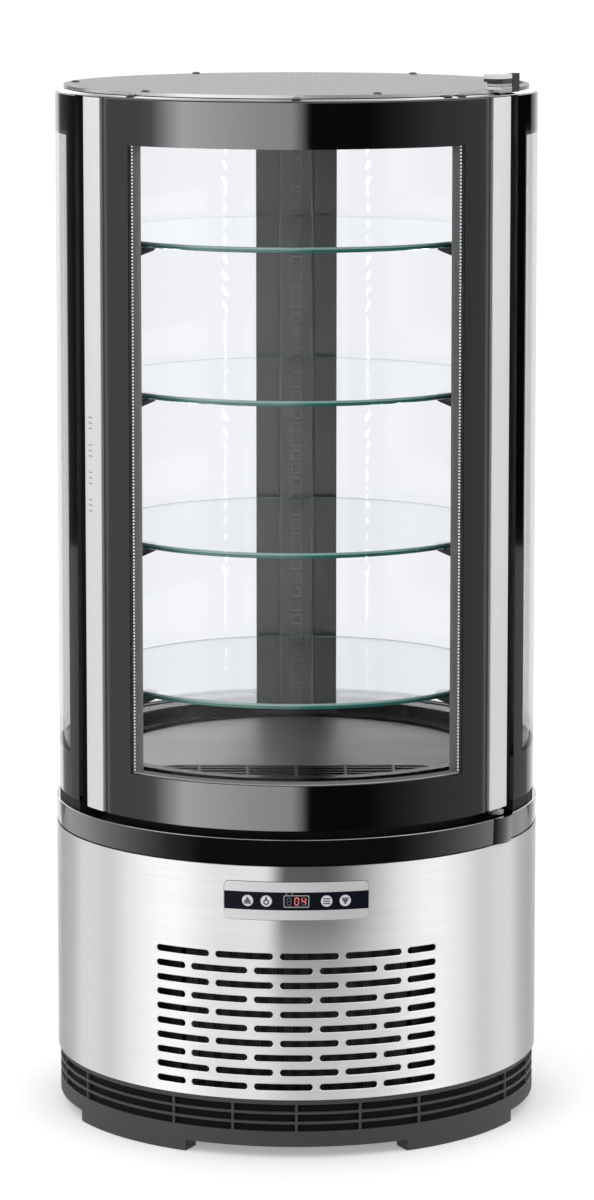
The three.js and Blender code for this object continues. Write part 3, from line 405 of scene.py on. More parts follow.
ends = [face for face in skirt.faces
        if all(vert.co.y > 0 and abs(vert.co.x) < join for vert in face.verts)]
bmesh.ops.delete(skirt, geom=ends, context="FACES_ONLY")
bmesh.ops.remove_doubles(moved(skirt, turn=180), verts=skirt.verts, dist=join)
flange = spun(rectangle(199, 220.5, skirt_low, skirt_low + 3))
foot_section = rectangle(plinth_radius - foot_depth, plinth_radius, 0, foot_top)
# Painted shade: faces of each foot that don't face outwards take the near-black paint, for the dark inside
# the hollow feet.
feet = [
    painted(eased(spun(foot_section, angle - foot_arc / 2, foot_arc), 0.8),
            lambda face, spot: abs(face.normal.xy @ spot.xy.normalized()) < 0.7)
    for angle in foot_angles
]
placed("plinth_moulding", joined(skirt, flange, *feet), "cabinet", "matte_plastic", matte_plastic,
       black_and_foot_shade, replaces=["plinth_ring"])


# Base pan and chassis: sheet steel that carries the machinery and the cabinet above it. They and
# the fan's shroud are painted near black as painted shade, so that nothing gleams through the vents. The
# motor is zinc.
def galvanised(name, colour):
    """Zinc-coated sheet: flat crystals a few millimetres wide, each a little brighter or duller."""
    made, mix = new_material(name)
    crystals = mix.node("TexVoronoi", None, {"Vector": mix.place(), "Scale": 260}, out="Color")
    tone = mix.node("SeparateColor", None, {0: crystals})
    mix.finish({"Base Color": tone.tint(shade(colour, 0.72), colour), "Metallic": 1.0,
                "Roughness": tone * 0.16 + 0.4})
    return made


def clad(paint, *nodes):
    """Paints pieces that are shown as the frame has them."""
    for node in nodes:
        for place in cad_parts[node].material_slots:
            place.material = paint


zinc = galvanised("galvanised_sheet", (0.3, 0.31, 0.32, 1))
# Painted shade: near black on the inner sheet parts, for the shade seen through the vents.
painted_shade_sheet = grained("painted_shade_black", (0.008, 0.008, 0.0085, 1), 0.5, scale=300, depth=0.08)
clad(zinc, "condenser_fan_motor")
clad(painted_shade_sheet, "base_pan", "chassis_frame", "condenser_shroud")

# Air guides: black sheet wings bent round just inside the shell, two beside the condenser and two
# behind the rear vents, where their near black is painted shade. They keep the fan from drawing warm air
# back round the coil.
guide_section, guide_arc, guide_starts = rectangle(206, 207, 57, 262), 41, (-71.3, 30.3, 115.5, 203.5)
guides = [spun(guide_section, start, guide_arc, 1) for start in guide_starts]
placed("air_guides", joined(*guides), "cabinet", "sheet_steel", painted_shade_sheet)

# Dust screen: a band of black plastic gauze that stands behind the plinth's vents, its near black
# a painted shade for the vents. It is clipped in between the flange and the steel shell.
shade_screen_black = grained("shade_screen_black", grey(0.003), 0.8, depth=0.3, Specular_IOR_Level=0.2)
screen = spun(rectangle(218.6, 219.4, skirt_low + 3.2, plinth_top - 0.6))
placed("dust_screen", screen, "cabinet", "matte_plastic", shade_screen_black)

# Condenser, fan, compressor and drip tray: a finned coil right behind the louvres, drawn on by a
# plastic fan, a black enamelled compressor can, and a plastic tray where the melt water dries.
fins, mix = new_material("aluminium_fins")
place = mix.place()
leaves = mix.node("TexWave", {"wave_type": "BANDS", "bands_direction": "X"},
                  {"Vector": place, "Scale": 110, "Distortion": 0.4, "Detail": 1})
dust = place.noise(30, 5)
mix.finish({"Base Color": (leaves * dust).tint((0.004, 0.003, 0.002, 1), (0.06, 0.042, 0.032, 1)),
            "Roughness": 0.6, "Normal": leaves.bump(0.5, 0.001)})
clad(fins, "condenser_coil", "evaporator_coil")
enamel = grained("black_enamel", (0.02, 0.02, 0.022, 1), 0.28, scale=220, depth=0.08)
clad(enamel, "compressor")
clad(matte_plastic, "condenser_fan", "drip_tray", "evaporator_fan")
clad(zinc, "evaporator_fan_motor")


# Steel shell: a stainless sheet, brushed along its length and rolled round the base, with ten rows
# of staggered slots punched through. A second sheet closes the back, with fewer vents.
body_radius, shell_bottom, shell_top, shell_wall, shell_lip = 225, 54.3, 268.5, 1.2, 0.45
arc = math.radians(1) * body_radius


def brushed(name, colour, roughness, streak, painted_reflection=0.0, **more):
    """Brushed metal: long fine scratches, by direction on the cabinet's round wall. If asked, a painted
    dark reflection darkens the steel's colour in a soft field right of the front's middle, strongest under
    the collar."""
    made, mix = new_material(name)
    spot = mix.spot()
    round_it = mix.sum("ARCTAN2", spot, spot.part("Y") * -1) * (body_radius * MM)
    along, across, up = streak
    stretched = mix.node("CombineXYZ", None, {0: round_it * along, 1: spot.part("Y") * across,
                                              2: spot.part("Z") * up})
    scratches = stretched.noise(1, 6, Roughness=0.65)
    tone = scratches.tint(shade(colour, 0.8), colour)
    # Painted reflection: a dark field in the steel's colour stands in for a dark reflection.
    if painted_reflection:
        def ramp(value, low, high):
            return mix.node("MapRange", {"interpolation_type": "SMOOTHSTEP"},
                            {"Value": value, "From Min": low, "From Max": high})
        from_left, from_right = ramp(round_it, -0.029, -0.008), ramp(round_it, 0.1, 0.022)
        painted_reflection_field = from_left * from_right * ramp(spot.part("Z"), 0.1, 0.27)
        tone = (painted_reflection_field * painted_reflection).tint(tone, grey(0.02))
    mix.finish({"Base Color": tone, "Metallic": 1.0, "Roughness": scratches * 0.1 + roughness,
                "Normal": scratches.bump(0.1, 0.0002)}, **more)
    return made


def shell_sheet(half_angle, holes):
    """A sheet with its holes, rolled round the front from one angle to the other."""
    rim = (2 * half_angle * arc, shell_top - shell_bottom, square_corner, 0, (shell_bottom + shell_top) / 2)
    return rolled(punched(rim, holes, shell_wall, shell_lip), body_radius, half_angle * arc, 6)


# The front steel carries the painted dark reflection at 0.85 of its strength.
steel = brushed("brushed_steel", (0.84, 0.84, 0.845, 1), 0.3, (5, 0, 700), 0.85,
                Anisotropic=0.9, Anisotropic_Rotation=0.25)
panel_width, panel_height, panel_middle = 131.6, 34.8, 237.1
slot_low, slot_pitch, slot_height, slot_end = 66, 13.35, 6.2, 3.09
wrap_half, back_half, louvre_half, slot_angle, bridge_angle = 110, 69.92, 34.1, 13.6, 1.55
slots = [(panel_width + 0.6, panel_height + 0.6, 5.3, 0, panel_middle)]
for row in range(10):
    side = 1 if row % 2 else -1
    start = -louvre_half
    while start < louvre_half - bridge_angle:
        end = min(start + slot_angle, louvre_half)
        middle = side * (start + end) / 2
        slots.append(((end - start) * arc, slot_height, slot_end, middle * arc,
                      slot_low + row * slot_pitch))
        start += slot_angle + bridge_angle
placed("steel_wrap", shell_sheet(wrap_half, slots), "cabinet", "brushed_steel", steel,
       replaces=["front_shell"], flat=False)

inlet_width, inlet_height, inlet_level = 30, 24, 92.3
rear_angle, rear_height, rear_end, rear_low, rear_pitch = 14, 7, 3.49, 80.3, 20
holes = [(inlet_width + 0.6, inlet_height + 0.6, 0.6, 0, inlet_level)]
for row in range(4):
    for angle in (-53, -36, 36, 53):
        holes.append((rear_angle * arc, rear_height, rear_end, angle * arc, rear_low + row * rear_pitch))
placed("steel_back", moved(shell_sheet(back_half, holes), turn=180), "cabinet", "brushed_steel", steel,
       replaces=["rear_panel"], flat=False)


# Power inlet: a moulded socket for the lead, with three flat plated pins inside. It is pushed in
# from behind, flush with the back sheet.
def box(width, depth, height, x=0, y=0, z=0):
    shape = bmesh.new()
    bmesh.ops.create_cube(shape, size=1)
    bmesh.ops.scale(shape, vec=(width, depth, height), verts=shape.verts)
    return moved(shape, x, y, z)


inlet_face, inlet_depth = 223.4, 16
inlet = punched((inlet_width, inlet_height, 1, 0, 0), [(23, 17, 2.5, 0, 0)], inlet_depth, 0.5)
well = box(29.6, 5.9, 23.6, 0, 18.9)
socket = moved(joined(inlet, well), 0, -inlet_face, inlet_level, 180)
placed("inlet_socket", socket, "cabinet", "matte_plastic", matte_plastic, replaces=["power_inlet"])
plated = grained("plated_pins", (0.75, 0.74, 0.7, 1), 0.2, depth=0.0, patch=400, Metallic=1.0)
pins = [eased(box(2, 12, 4, x, inlet_face - 10, inlet_level + lift), 0.4)
        for x, lift in ((-6, -1.5), (0, 2), (6, -1.5))]
placed("inlet_pins", joined(*pins), "cabinet", "chrome", plated)

# Control panel: a satin aluminium plate in the shell's cut-out with a black strip across it, a
# display behind a tinted lens, and four round buttons with their signs printed on the caps.
plate_paint = brushed("satin_plate", (0.8, 0.8, 0.805, 1), 0.4, (5, 0, 1800))
plate_wall, strip_height, strip_wall, panel_pitch = 4.5, 16.4, 0.3, 4
button_places = {"button_up": -44, "button_lamp": -27.1, "button_set": 27.1, "button_down": 44}
button_hole, display_width, display_height = 11, 24.1, 12.3


def panel_piece(width, height, corner, tighter, wall, radius):
    """A curved plate with the holes for the buttons and the display, tighter by so much."""
    round_hole = button_hole - tighter
    holes = [(round_hole, round_hole, round_hole / 2 - 0.01, x, panel_middle)
             for x in button_places.values()]
    holes.append((display_width - tighter, display_height - tighter, 0.5, 0, panel_middle))
    flat_plate = punched((width, height, corner, 0, panel_middle), holes, wall)
    return rolled(flat_plate, radius, panel_width / 2, panel_pitch)


def inked(name, colour, roughness, **more):
    """Printed ink or a bare face: no grain, and unevenness too fine to see."""
    return grained(name, colour, roughness, depth=0.0, patch=500, **more)


plate = panel_piece(panel_width, panel_height, 5, 0, plate_wall, body_radius - 0.1)
placed("panel_plate", plate, "cabinet", "anodised", plate_paint, replaces=["control_fascia"], flat=False)
strip_paint = grained("panel_black", (0.002, 0.003, 0.009, 1), 0.3, depth=0.0, spread=0.05,
                      Specular_IOR_Level=0.15)
strip = panel_piece(panel_width - 0.4, strip_height, 0.1, 0.1, strip_wall, body_radius)
placed("panel_strip", strip, "cabinet", "gloss_black", strip_paint, flat=False)

circuit = grained("circuit_green", (0.01, 0.1, 0.03, 1), 0.35, scale=300)
clad(circuit, "control_board")

lens_face, ink = 224.7, 0.2
lens = eased(box(23.5, 9, 11.7, 0, 4.5 - lens_face, panel_middle), 0.3)
placed("display_lens", lens, "cabinet", "gloss_black", strip_paint, replaces=["control_display"])
print_white = inked("print_white", (0.44, 0.45, 0.46, 1), 0.45)
border = punched((22.9, 11.1, 1.2, 0, panel_middle), [(21.5, 9.7, 0.8, 0, panel_middle)], ink)
moved(border, y=-lens_face - 0.1)
marks = [eased(box(1, ink, 1.1, x, -lens_face - 0.19, panel_middle + 7), 0.08, 1)
         for x in (-8.9, -3.6, 1.3)]
placed("display_print", joined(border, *marks), "cabinet", "gloss_black", print_white)

unlit = inked("segment_unlit", (0.115, 0.115, 0.12, 1), 0.35)
lit = inked("segment_lit", (0.6, 0.1, 0.09, 1), 0.35, Emission_Color=(1, 0.23, 0.2, 1),
            Emission_Strength=0.75)
lying, standing = (2.6, 0.12, 0.75), (0.75, 0.12, 2.4)
segments = {"a": (0, 3.2, lying), "b": (1.7, 1.6, standing), "c": (1.7, -1.6, standing),
            "d": (0, -3.2, lying), "e": (-1.7, -1.6, standing), "f": (-1.7, 1.6, standing),
            "g": (0, 0, lying)}
shown = {-5.9: "", 0.9: "abcdef", 7.2: "bcfg"}
for paint, name, wanted in ((unlit, "digits_unlit", False), (lit, "digits_lit", True)):
    bars = []
    for x, on in shown.items():
        for segment, (across, up, size) in segments.items():
            if (segment in on) is wanted:
                bars.append(box(*size, x - 0.6 + across, -lens_face - 0.12, panel_middle + up))
    placed(name, joined(*bars), "cabinet", "gloss_black", paint)

cap_white = grained("button_white", (0.78, 0.79, 0.81, 1), 0.3, scale=500, depth=0.02)
sign_black = inked("sign_black", (0.02, 0.022, 0.04, 1), 0.35)
sign_ink, cap_face = 0.16, 225.3


def sign_bar(width, height, x, z):
    return box(width, sign_ink, height, x, 0, z)


def arrow(side):
    rows = ((1.5, 2.6), (3, 1.3), (4.6, 0), (6.2, -1.3))
    steps = [sign_bar(width, 1.1, 0, side * up) for width, up in rows]
    return [*steps, sign_bar(6.2, 0.6, 0, side * -2.6)]


lamp_ring = punched((5.2, 5.2, 2.59, 0, -0.9), [(2.8, 2.8, 1.39, 0, -0.9)], sign_ink)
signs = {
    "button_up": arrow(1),
    "button_lamp": [lamp_ring, sign_bar(1.8, 1.3, 0, 2.1), sign_bar(1.1, 1.4, 0, 3.3)],
    "button_set": [sign_bar(6.4, 1.05, 0, up) for up in (-2.2, 0, 2.2)],
    "button_down": arrow(-1),
}
cap_section = [(0, cap_face), (4.4, 225.25), (5.0, 225.05), (5.2, 224.7), (5.2, 219.5), (7, 219.5),
               (7, 218.3), (0, 218.3)]
for name, x in button_places.items():
    cap = spun(cap_section, step=7.5)
    bmesh.ops.rotate(cap, verts=cap.verts, matrix=Matrix.Rotation(math.pi / 2, 3, "X"))
    moved(cap, z=panel_middle, turn=x / arc)
    placed(name + "_cap", cap, name, "button_white", cap_white, replaces=[name])
    sign = moved(joined(*signs[name]), y=-cap_face - 0.02, z=panel_middle, turn=x / arc)
    placed(name + "_sign", sign, name, "button_white", sign_black)


# Collar: a gloss black ring moulded to sit on the steel, with a seat inside it for the side glass.
# It swells at the right to carry the door's lower hinge.
def drawn_out(shape, faces, way):
    """Draws faces out to a solid, and returns the corners of its far end."""
    far_side = bmesh.ops.extrude_face_region(shape, geom=faces)["geom"]
    corners = [part for part in far_side if isinstance(part, bmesh.types.BMVert)]
    bmesh.ops.translate(shape, vec=way, verts=corners)
    return corners


gloss_black = grained("gloss_black", (0.004, 0.004, 0.0045, 1), 0.035, scale=60, depth=0.012,
                      spread=0.02, Specular_IOR_Level=1.0, IOR=1.8, Coat_Weight=1.0, Coat_Roughness=0.02)
collar_inner, collar_outer, collar_low, seat_low, collar_top = 215, 225, 269.6, 289, 293
side_start, side_turn = 64, 232
ring = spun([(collar_inner, collar_low), (collar_outer - 0.8, collar_low),
             (collar_outer, collar_top - 0.6), (collar_outer - 0.4, collar_top),
             (collar_inner, collar_top)])
seat = spun(rectangle(208, collar_inner - 0.1, seat_low, collar_top), side_start - 2, side_turn + 4)
outward = Matrix.Rotation(math.radians(57.5), 3, "Z") @ Vector((0, -1, 0))
swelling_radius, swelling_reach, swelling_root, swelling_low, draft = 31.5, 198, 216, 268.8, 0.0035
middle = Matrix.Translation(outward * swelling_reach + Vector((0, 0, swelling_low)))
swelling = bmesh.new()
bmesh.ops.create_circle(swelling, cap_ends=True, segments=120, radius=swelling_radius, matrix=middle)
cut(swelling, outward * swelling_root, outward, clear_inner=True)
bmesh.ops.scale(swelling, vec=(1 - draft, 1 - draft, 1), verts=swelling.verts)
upper_rim = drawn_out(swelling, swelling.faces, (0, 0, collar_top - swelling_low))
bmesh.ops.scale(swelling, vec=(1 + draft, 1 + draft, 1), verts=upper_rim)
placed("collar", joined(ring, seat, swelling), "cabinet", "gloss_black", gloss_black,
       replaces=["collar_ring"])

# Lower hinge: a plated bush on the collar's swelling. The door stands on its washer, and turns on
# the pin that reaches up into the hinge profile.
hinge_radius, hinge_angle = 214, 58.5
hinge_x = hinge_radius * math.sin(math.radians(hinge_angle))
hinge_y = -hinge_radius * math.cos(math.radians(hinge_angle))
satin_grey = grained("satin_grey", (0.45, 0.45, 0.46, 1), 0.3, scale=300, Metallic=0.5)
head, washer, pin, foot, bevel = 7.5, 4.9, 3, 293.3, 0.6
head_top, washer_top, pin_top = 297.5, 299.7, 312
bush = spun([(0, foot), (head - bevel, foot), (head, foot + bevel), (head, head_top - bevel),
             (head - bevel, head_top), (washer, head_top), (washer, washer_top), (pin, washer_top),
             (pin, pin_top - bevel), (pin - bevel, pin_top), (0, pin_top)], step=7.5)
placed("hinge_bush", moved(bush, hinge_x, hinge_y), "cabinet", "chrome", satin_grey,
       replaces=["lower_hinge_bush"])

# Insulated floor: a foam-filled tub, hidden but for its dark seat under the side glass, and on it
# a black moulded ring with a ledge for the floor plate and a kerb under the uprights.
# Partly painted shade: the near black also stands in for the shade in the gap under the side glass and
# below the grille's slots.
foam_black_and_shade = grained("foam_black_and_shade", grey(0.005), 0.6, scale=400, depth=0.1,
                     Specular_IOR_Level=0.25)
clad(foam_black_and_shade, "insulated_floor_tub", "ceiling_panel")
ring_black = grained("ring_black", grey(0.01), 0.18, scale=300, depth=0.05, spread=0.15,
                     Specular_IOR_Level=0.3)
kerb_inner, kerb_low, ledge_top, kerb_top, duct_gap = 188, 329.5, 334, 344, 12.2


def kerb(outer, start, turn):
    return spun([(kerb_inner, kerb_low + 3.5), (kerb_inner, kerb_top - 1), (kerb_inner + 1, kerb_top),
                 (outer, kerb_top), (outer, kerb_low), (kerb_inner, kerb_low)], start, turn)


ledge = spun([(168.3, kerb_low), (168.3, ledge_top - 0.6), (168.9, ledge_top), (188.5, ledge_top),
              (188.5, kerb_low)])
kerbs = [kerb(200.7, -64.2, 128.4), kerb(207.4, side_start, side_turn / 2 - duct_gap),
         kerb(207.4, 180 + duct_gap, side_turn / 2 - duct_gap)]
placed("floor_kerb", joined(ledge, *kerbs), "cabinet", "matte_plastic", ring_black,
       replaces=["floor_ring"])

# Floor plate: a disc of brushed steel that lifts out, with an opening at the front for the intake.
# Its brushing runs from side to side, and a painted light makes it a little brighter towards the left.
floor_steel, mix = new_material("floor_steel")
place = mix.place()
# Painted light: the colour brightens towards the left, where the light falls.
painted_light_from_left = mix.spot() * -2.4
scratches = mix.node("Mapping", None, {"Vector": place, "Scale": (14, 900, 1)}).noise(1, 6, Roughness=0.6)
tone = scratches * 0.7 + place.noise(9, 4) * 0.6 + painted_light_from_left
mix.finish({"Base Color": tone.tint((0.06, 0.059, 0.058, 1), (0.42, 0.415, 0.41, 1)), "Metallic": 1.0,
            "Roughness": scratches * 0.12 + 0.38, "Normal": scratches.bump(0.05, 0.0002)})
plate_level, plate_radius, plate_wall = 330.5, 168, 1
grille_radius, grille_front, grille_back, grille_half, shoulder = 165, 135, 72, 133, 98


def grille_plan(inset, level):
    """The intake's plan: the front part of a disc, cut straight before and behind."""
    shape = bmesh.new()
    bmesh.ops.create_circle(shape, cap_ends=True, segments=240, radius=grille_radius - inset)
    cut(shape, (0, inset - grille_front, 0), (0, -1, 0), clear_outer=True)
    cut(shape, (0, -grille_back - inset, 0), (0, 1, 0), clear_outer=True)
    for side in (-1, 1):
        cut(shape, (side * (grille_half - inset), -shoulder, 0), (side * 0.92, 0.39, 0), clear_outer=True)
    rear = [vert for vert in shape.verts if abs(vert.co.y + grille_back + inset) < 0.01]
    bmesh.ops.bevel(shape, geom=rear, offset=max(4, 12 - inset), offset_type="OFFSET", segments=6,
                    profile=0.5, affect="VERTICES", material=-1)
    return moved(shape, z=level)


plate = grille_plan(-0.3, plate_level)
bmesh.ops.delete(plate, geom=plate.faces, context="FACES_ONLY")
at_level = Matrix.Translation((0, 0, plate_level))
bmesh.ops.create_circle(plate, segments=240, radius=plate_radius, matrix=at_level)
bmesh.ops.triangle_fill(plate, edges=plate.edges, use_beauty=True)
drawn_out(plate, plate.faces, (0, 0, -plate_wall))
placed("steel_floor", plate, "cabinet", "brushed_steel", floor_steel, replaces=["floor_plate"])

# Intake grille: a black plastic frame with cross bars and thin ribs, moulded in one and pressed
# into the floor plate's opening. The fan below draws the cabinet's air in through it.
grille_level, frame_width, bar_depth, slot_width = 331.3, 4, 1.8, 7.5
grille = grille_plan(0, grille_level)
bmesh.ops.inset_region(grille, faces=grille.faces, thickness=frame_width)
opening = max(grille.faces, key=lambda face: face.calc_area())
bmesh.ops.delete(grille, geom=[opening], context="FACES_ONLY")
drawn_out(grille, grille.faces, (0, 0, -bar_depth))
bars = []
bars_front, bars_back, bars_reach, rib_pitch = 134.97, 71.94, 162, 44.6
bar_pitch = (bars_front - bars_back - frame_width) / 5
for cross in range(1, 5):
    y = -bars_back - frame_width / 2 - bar_pitch * cross
    reach = min(math.sqrt(bars_reach ** 2 - y ** 2), 131 + (y + shoulder) * -0.42)
    bars.append(eased(box(2 * reach, bar_pitch - slot_width, bar_depth, 0, y, 330.3), 0.3, 1))
for rib in range(-3, 4):
    x = rib * rib_pitch
    ahead = min(grille_half, math.sqrt(bars_reach ** 2 - x ** 2))
    behind = 73 if abs(x) < 118 else 92
    bars.append(eased(box(3, ahead - behind, 1.6, x, -(ahead + behind) / 2, 330.6), 0.7, 2))
grille_black = grained("grille_black", grey(0.006), 0.3, scale=300, depth=0.05,
                       Specular_IOR_Level=0.25)
placed("intake_grille", joined(grille, *bars), "cabinet", "matte_plastic", grille_black,
       replaces=["floor_grille"])


# Rear air duct: a folded steel channel in dark grey paint, its ridge punched with square air holes,
# with a plastic clip under each shelf. A flat cover closes it towards the rear glass.
def drawn_shape(corners, way):
    """A solid drawn out from a flat outline."""
    shape = bmesh.new()
    face = shape.faces.new([shape.verts.new(corner) for corner in corners])
    drawn_out(shape, [face], way)
    return faced(shape)


shelf_tops = (408.3, 545.2, 682.1, 819.0)
duct_bottom, duct_top = 334.3, 911.9
duct_height, duct_middle = duct_top - duct_bottom, (duct_top + duct_bottom) / 2
duct_paint, mix = new_material("duct_grey")
place = mix.place()
# Painted shade: the right wing is darker in its colour, standing in for the shadow beside the ridge.
painted_shade_right_wing = mix.node("MapRange", None, {"Value": mix.spot(), "From Min": 0.014, "From Max": 0.024})
film = place.noise(40, 3)
tone = film * 0.3 + painted_shade_right_wing * 0.7
mix.finish({"Base Color": tone.tint((0.076, 0.073, 0.073, 1), (0.026, 0.026, 0.027, 1)),
            "Roughness": film * 0.05 + 0.33, "Coat Weight": 0.8, "Coat Roughness": 0.03})
# Painted highlight: the air holes' lips are a lighter grey, for the light their bevels catch.
painted_highlight_lip = grained("painted_highlight_lip", grey(0.3), 0.35, depth=0.0, patch=200)
ridge_half, ridge_face, wing_face, wing_edge, sheet_wall, fold = 14, 184, 190, 39, 2, 3
air_hole, hole_pitch, hole_lip = 8, 13.5, 0.6
air_holes = []
level = duct_bottom + 18
while level < duct_top - 26:
    air_holes.append((air_hole, air_hole, 0.7, 0, level + air_hole / 2))
    level += hole_pitch
ridge_rim = (2 * ridge_half, duct_height, 0.01, 0, duct_middle)
ridge = moved(punched(ridge_rim, air_holes, sheet_wall, hole_lip), y=ridge_face)
# The slanting lip faces of the holes take the painted highlight.
painted(faced(ridge), lambda face, spot: 0.3 < abs(face.normal.y) < 0.9)
backing = box(12, 0.6, duct_height - 20, 0, ridge_face + 1.2, duct_middle)
folds = []
for side in (-1, 1):
    turns = [math.radians(18 * step) for step in range(6)]
    plan = [(ridge_half + fold * math.sin(turn), ridge_face + fold - fold * math.cos(turn))
            for turn in turns]
    plan += [(ridge_half + fold, wing_face), (wing_edge - 0.8, wing_face), (wing_edge, wing_face + 0.8),
             (wing_edge, 200.9), (wing_edge - sheet_wall, 200.9),
             (wing_edge - sheet_wall, wing_face + sheet_wall), (ridge_half + 1, wing_face + sheet_wall),
             (ridge_half + 1, ridge_face + fold), (ridge_half, ridge_face + sheet_wall)]
    corners = [(side * x, y, duct_bottom) for x, y in plan]
    folds.append(drawn_shape(corners, (0, 0, duct_height)))
placed("duct_channel", joined(ridge, backing, *folds), "cabinet", "duct_grey", duct_paint, painted_highlight_lip,
       replaces=["rear_duct"])
clip_black = grained("clip_black", grey(0.012), 0.3, scale=500, depth=0.06)
clip_gap, clip_height = 5.3, 9
rear_clips = [eased(box(16, 15, clip_height, 0, 177.5, top - clip_gap - clip_height / 2), 1.2)
              for top in shelf_tops]
placed("rear_clips", joined(*rear_clips), "cabinet", "clip_black", clip_black)
cover = eased(box(2 * wing_edge, 1.9, duct_height, 0, 202.2, duct_middle), 0.4)
placed("duct_cover", cover, "cabinet", "matte_plastic", matte_plastic, replaces=["rear_duct_cover"])

# Front uprights: black plastic posts beside the door opening. Each carries a strip of white lights
# on its inner face, so the lights show only as dotted reflections in the glass and on the duct.
upright_low, upright_high, strip_inset = 344.3, 911.9, 6
light_low, light_high, light_pitch, light_size = 358, 900, 16.6, 3
post_black = grained("post_black", (0.03, 0.03, 0.031, 1), 0.25, scale=500, depth=0.05)
strip_white = grained("strip_white", grey(0.25), 0.4, scale=300)
diode = inked("diode", grey(1), 0.3, Emission_Color=(1, 0.98, 0.95, 1), Emission_Strength=110.0)
post_forms = ((196, 200.7, 46.3, 54), (188, 197, 49.8, 68), (196, 207.4, 64.3, 68))
strip_section = rectangle(185.2, 187.7, upright_low + strip_inset, upright_high - strip_inset)
for name, side in (("left", -1), ("right", 1)):
    parts = []
    for inner, outer, start, end in post_forms:
        first = start if side > 0 else -end
        section = rectangle(inner, outer, upright_low, upright_high)
        parts.append(eased(spun(section, first, end - start), 0.5))
    placed("post_" + name, joined(*parts), "cabinet", "matte_plastic", post_black,
           replaces=["upright_" + name])
    placed("light_strip_" + name, spun(strip_section, 57 if side > 0 else -60, 3), "cabinet", "lamp",
           strip_white, replaces=["led_strip_" + name])
    dots = []
    level = light_low
    while level < light_high:
        for angle, lift in ((57.8, 0), (59.1, 3.8)):
            dot = box(light_size, 0.7, light_size, 0, -184.9, level + lift)
            dots.append(moved(dot, turn=side * angle))
        level += light_pitch
    placed("light_dots_" + name, joined(*dots), "cabinet", "lamp", diode)

# Front shelf clips: black plastic wedges with rounded tips, screwed to the uprights in pairs. The
# shelves lie loose on them.
clip_half, clip_angle, clip_root, clip_tip = 7, 52, 187.4, 166.5
for index, top in enumerate(shelf_tops, 1):
    for name, side in (("left", -1), ("right", 1)):
        under = top - clip_gap
        profile = [(-clip_root, under), (-clip_root, under - clip_height), (-171, under - 4.6),
                   (-167.6, under - 3.6), (-clip_tip, under - 2.2), (-clip_tip, under)]
        clip = drawn_shape([(-clip_half, y, z) for y, z in profile], (2 * clip_half, 0, 0))
        moved(eased(clip, 1, 2, 60), turn=side * clip_angle)
        placed(f"clip_{name}_{index}", clip, "cabinet", "clip_black", clip_black,
               replaces=[f"shelf_clip_{name}_{index}"])

# Glass shelves: round float glass, 5 mm thick, with ground and polished rims. The faces are clear,
# and the rim shows the green of the glass, with a painted highlight in its upper part and deep teal below.
shelf_clear, mix = new_material("shelf_clear")
clear = mix.node("BsdfPrincipled", None, {"Base Color": (0.95, 0.985, 0.975, 1), "Roughness": 0.0,
                                          "IOR": 1.45, "Transmission Weight": 1.0})
light_through = mix.node("BsdfTransparent", None, {0: (0.93, 0.96, 0.95, 1)})
shadow = mix.node("LightPath", out="Is Shadow Ray")
mix.node("OutputMaterial", None, {0: mix.node("MixShader", None, {0: shadow, 1: clear, 2: light_through})})


def rim_green(name, left, right):
    """The polished rim, darkened towards the right by painted shade, and uneven as the grinder left it."""
    made, mix = new_material(name)
    # Painted shade: the rim's colour darkens towards the right, with the grinder's unevenness on top.
    shade_to_right_and_grind = mix.spot() * 2.2 + 0.5 + mix.place().noise(22, 2) * 0.5 - 0.25
    mix.finish({"Base Color": mix.sum("MINIMUM", shade_to_right_and_grind, 1).tint(left, right), "Roughness": 0.08,
                "Specular IOR Level": 0.8})
    return made


# The upper rim colour is a painted highlight; the lower one is the deep teal of the glass.
rim_painted_highlight = rim_green("rim_painted_highlight", (0.42, 0.56, 0.5, 1), (0.25, 0.42, 0.37, 1))
rim_deep = rim_green("rim_deep", (0.07, 0.24, 0.2, 1), (0.006, 0.09, 0.07, 1))
shelf_radius, shelf_wall, ground, deep_part = 182, 5, 0.6, 3
for index, top in enumerate(shelf_tops, 1):
    low = top - shelf_wall
    flat_part, waist = shelf_radius - ground, low + deep_part
    disc = spun([(0, low), (flat_part, low), (shelf_radius, low + ground), (shelf_radius, waist),
                 (shelf_radius, top - ground), (flat_part, top), (0, top)], step=2)
    painted(disc, lambda face, spot: spot.xy.length > flat_part - 0.2 and (1 if spot.z > waist else 2))
    placed(f"shelf_{index}_glass", disc, f"shelf_{index}", "shelf_glass", shelf_clear, rim_painted_highlight,
           rim_deep, replaces=[f"glass_shelf_{index}"])


# Side glazing: two curved panes, sealed to one unit that runs round the back from one side of the
# door to the other, with a black print along the outer pane's edges and a black spacer between.
def pane_glass(name, mirror):
    """Clear glass seen as a thin sheet: it lets light through and mirrors more at a low angle."""
    made, mix = new_material(name)
    facing = mix.node("LayerWeight", None, {"Blend": 0.5}, out="Facing")
    share = facing ** 5 * (1 - mirror) + mirror
    through = mix.node("BsdfTransparent", None, {0: (0.986, 0.988, 0.993, 1)})
    back = mix.node("BsdfPrincipled", None, {"Base Color": grey(1), "Metallic": 1.0, "Roughness": 0.0})
    mix.node("OutputMaterial", None, {0: mix.node("MixShader", None, {0: share, 1: through, 2: back})})
    return made


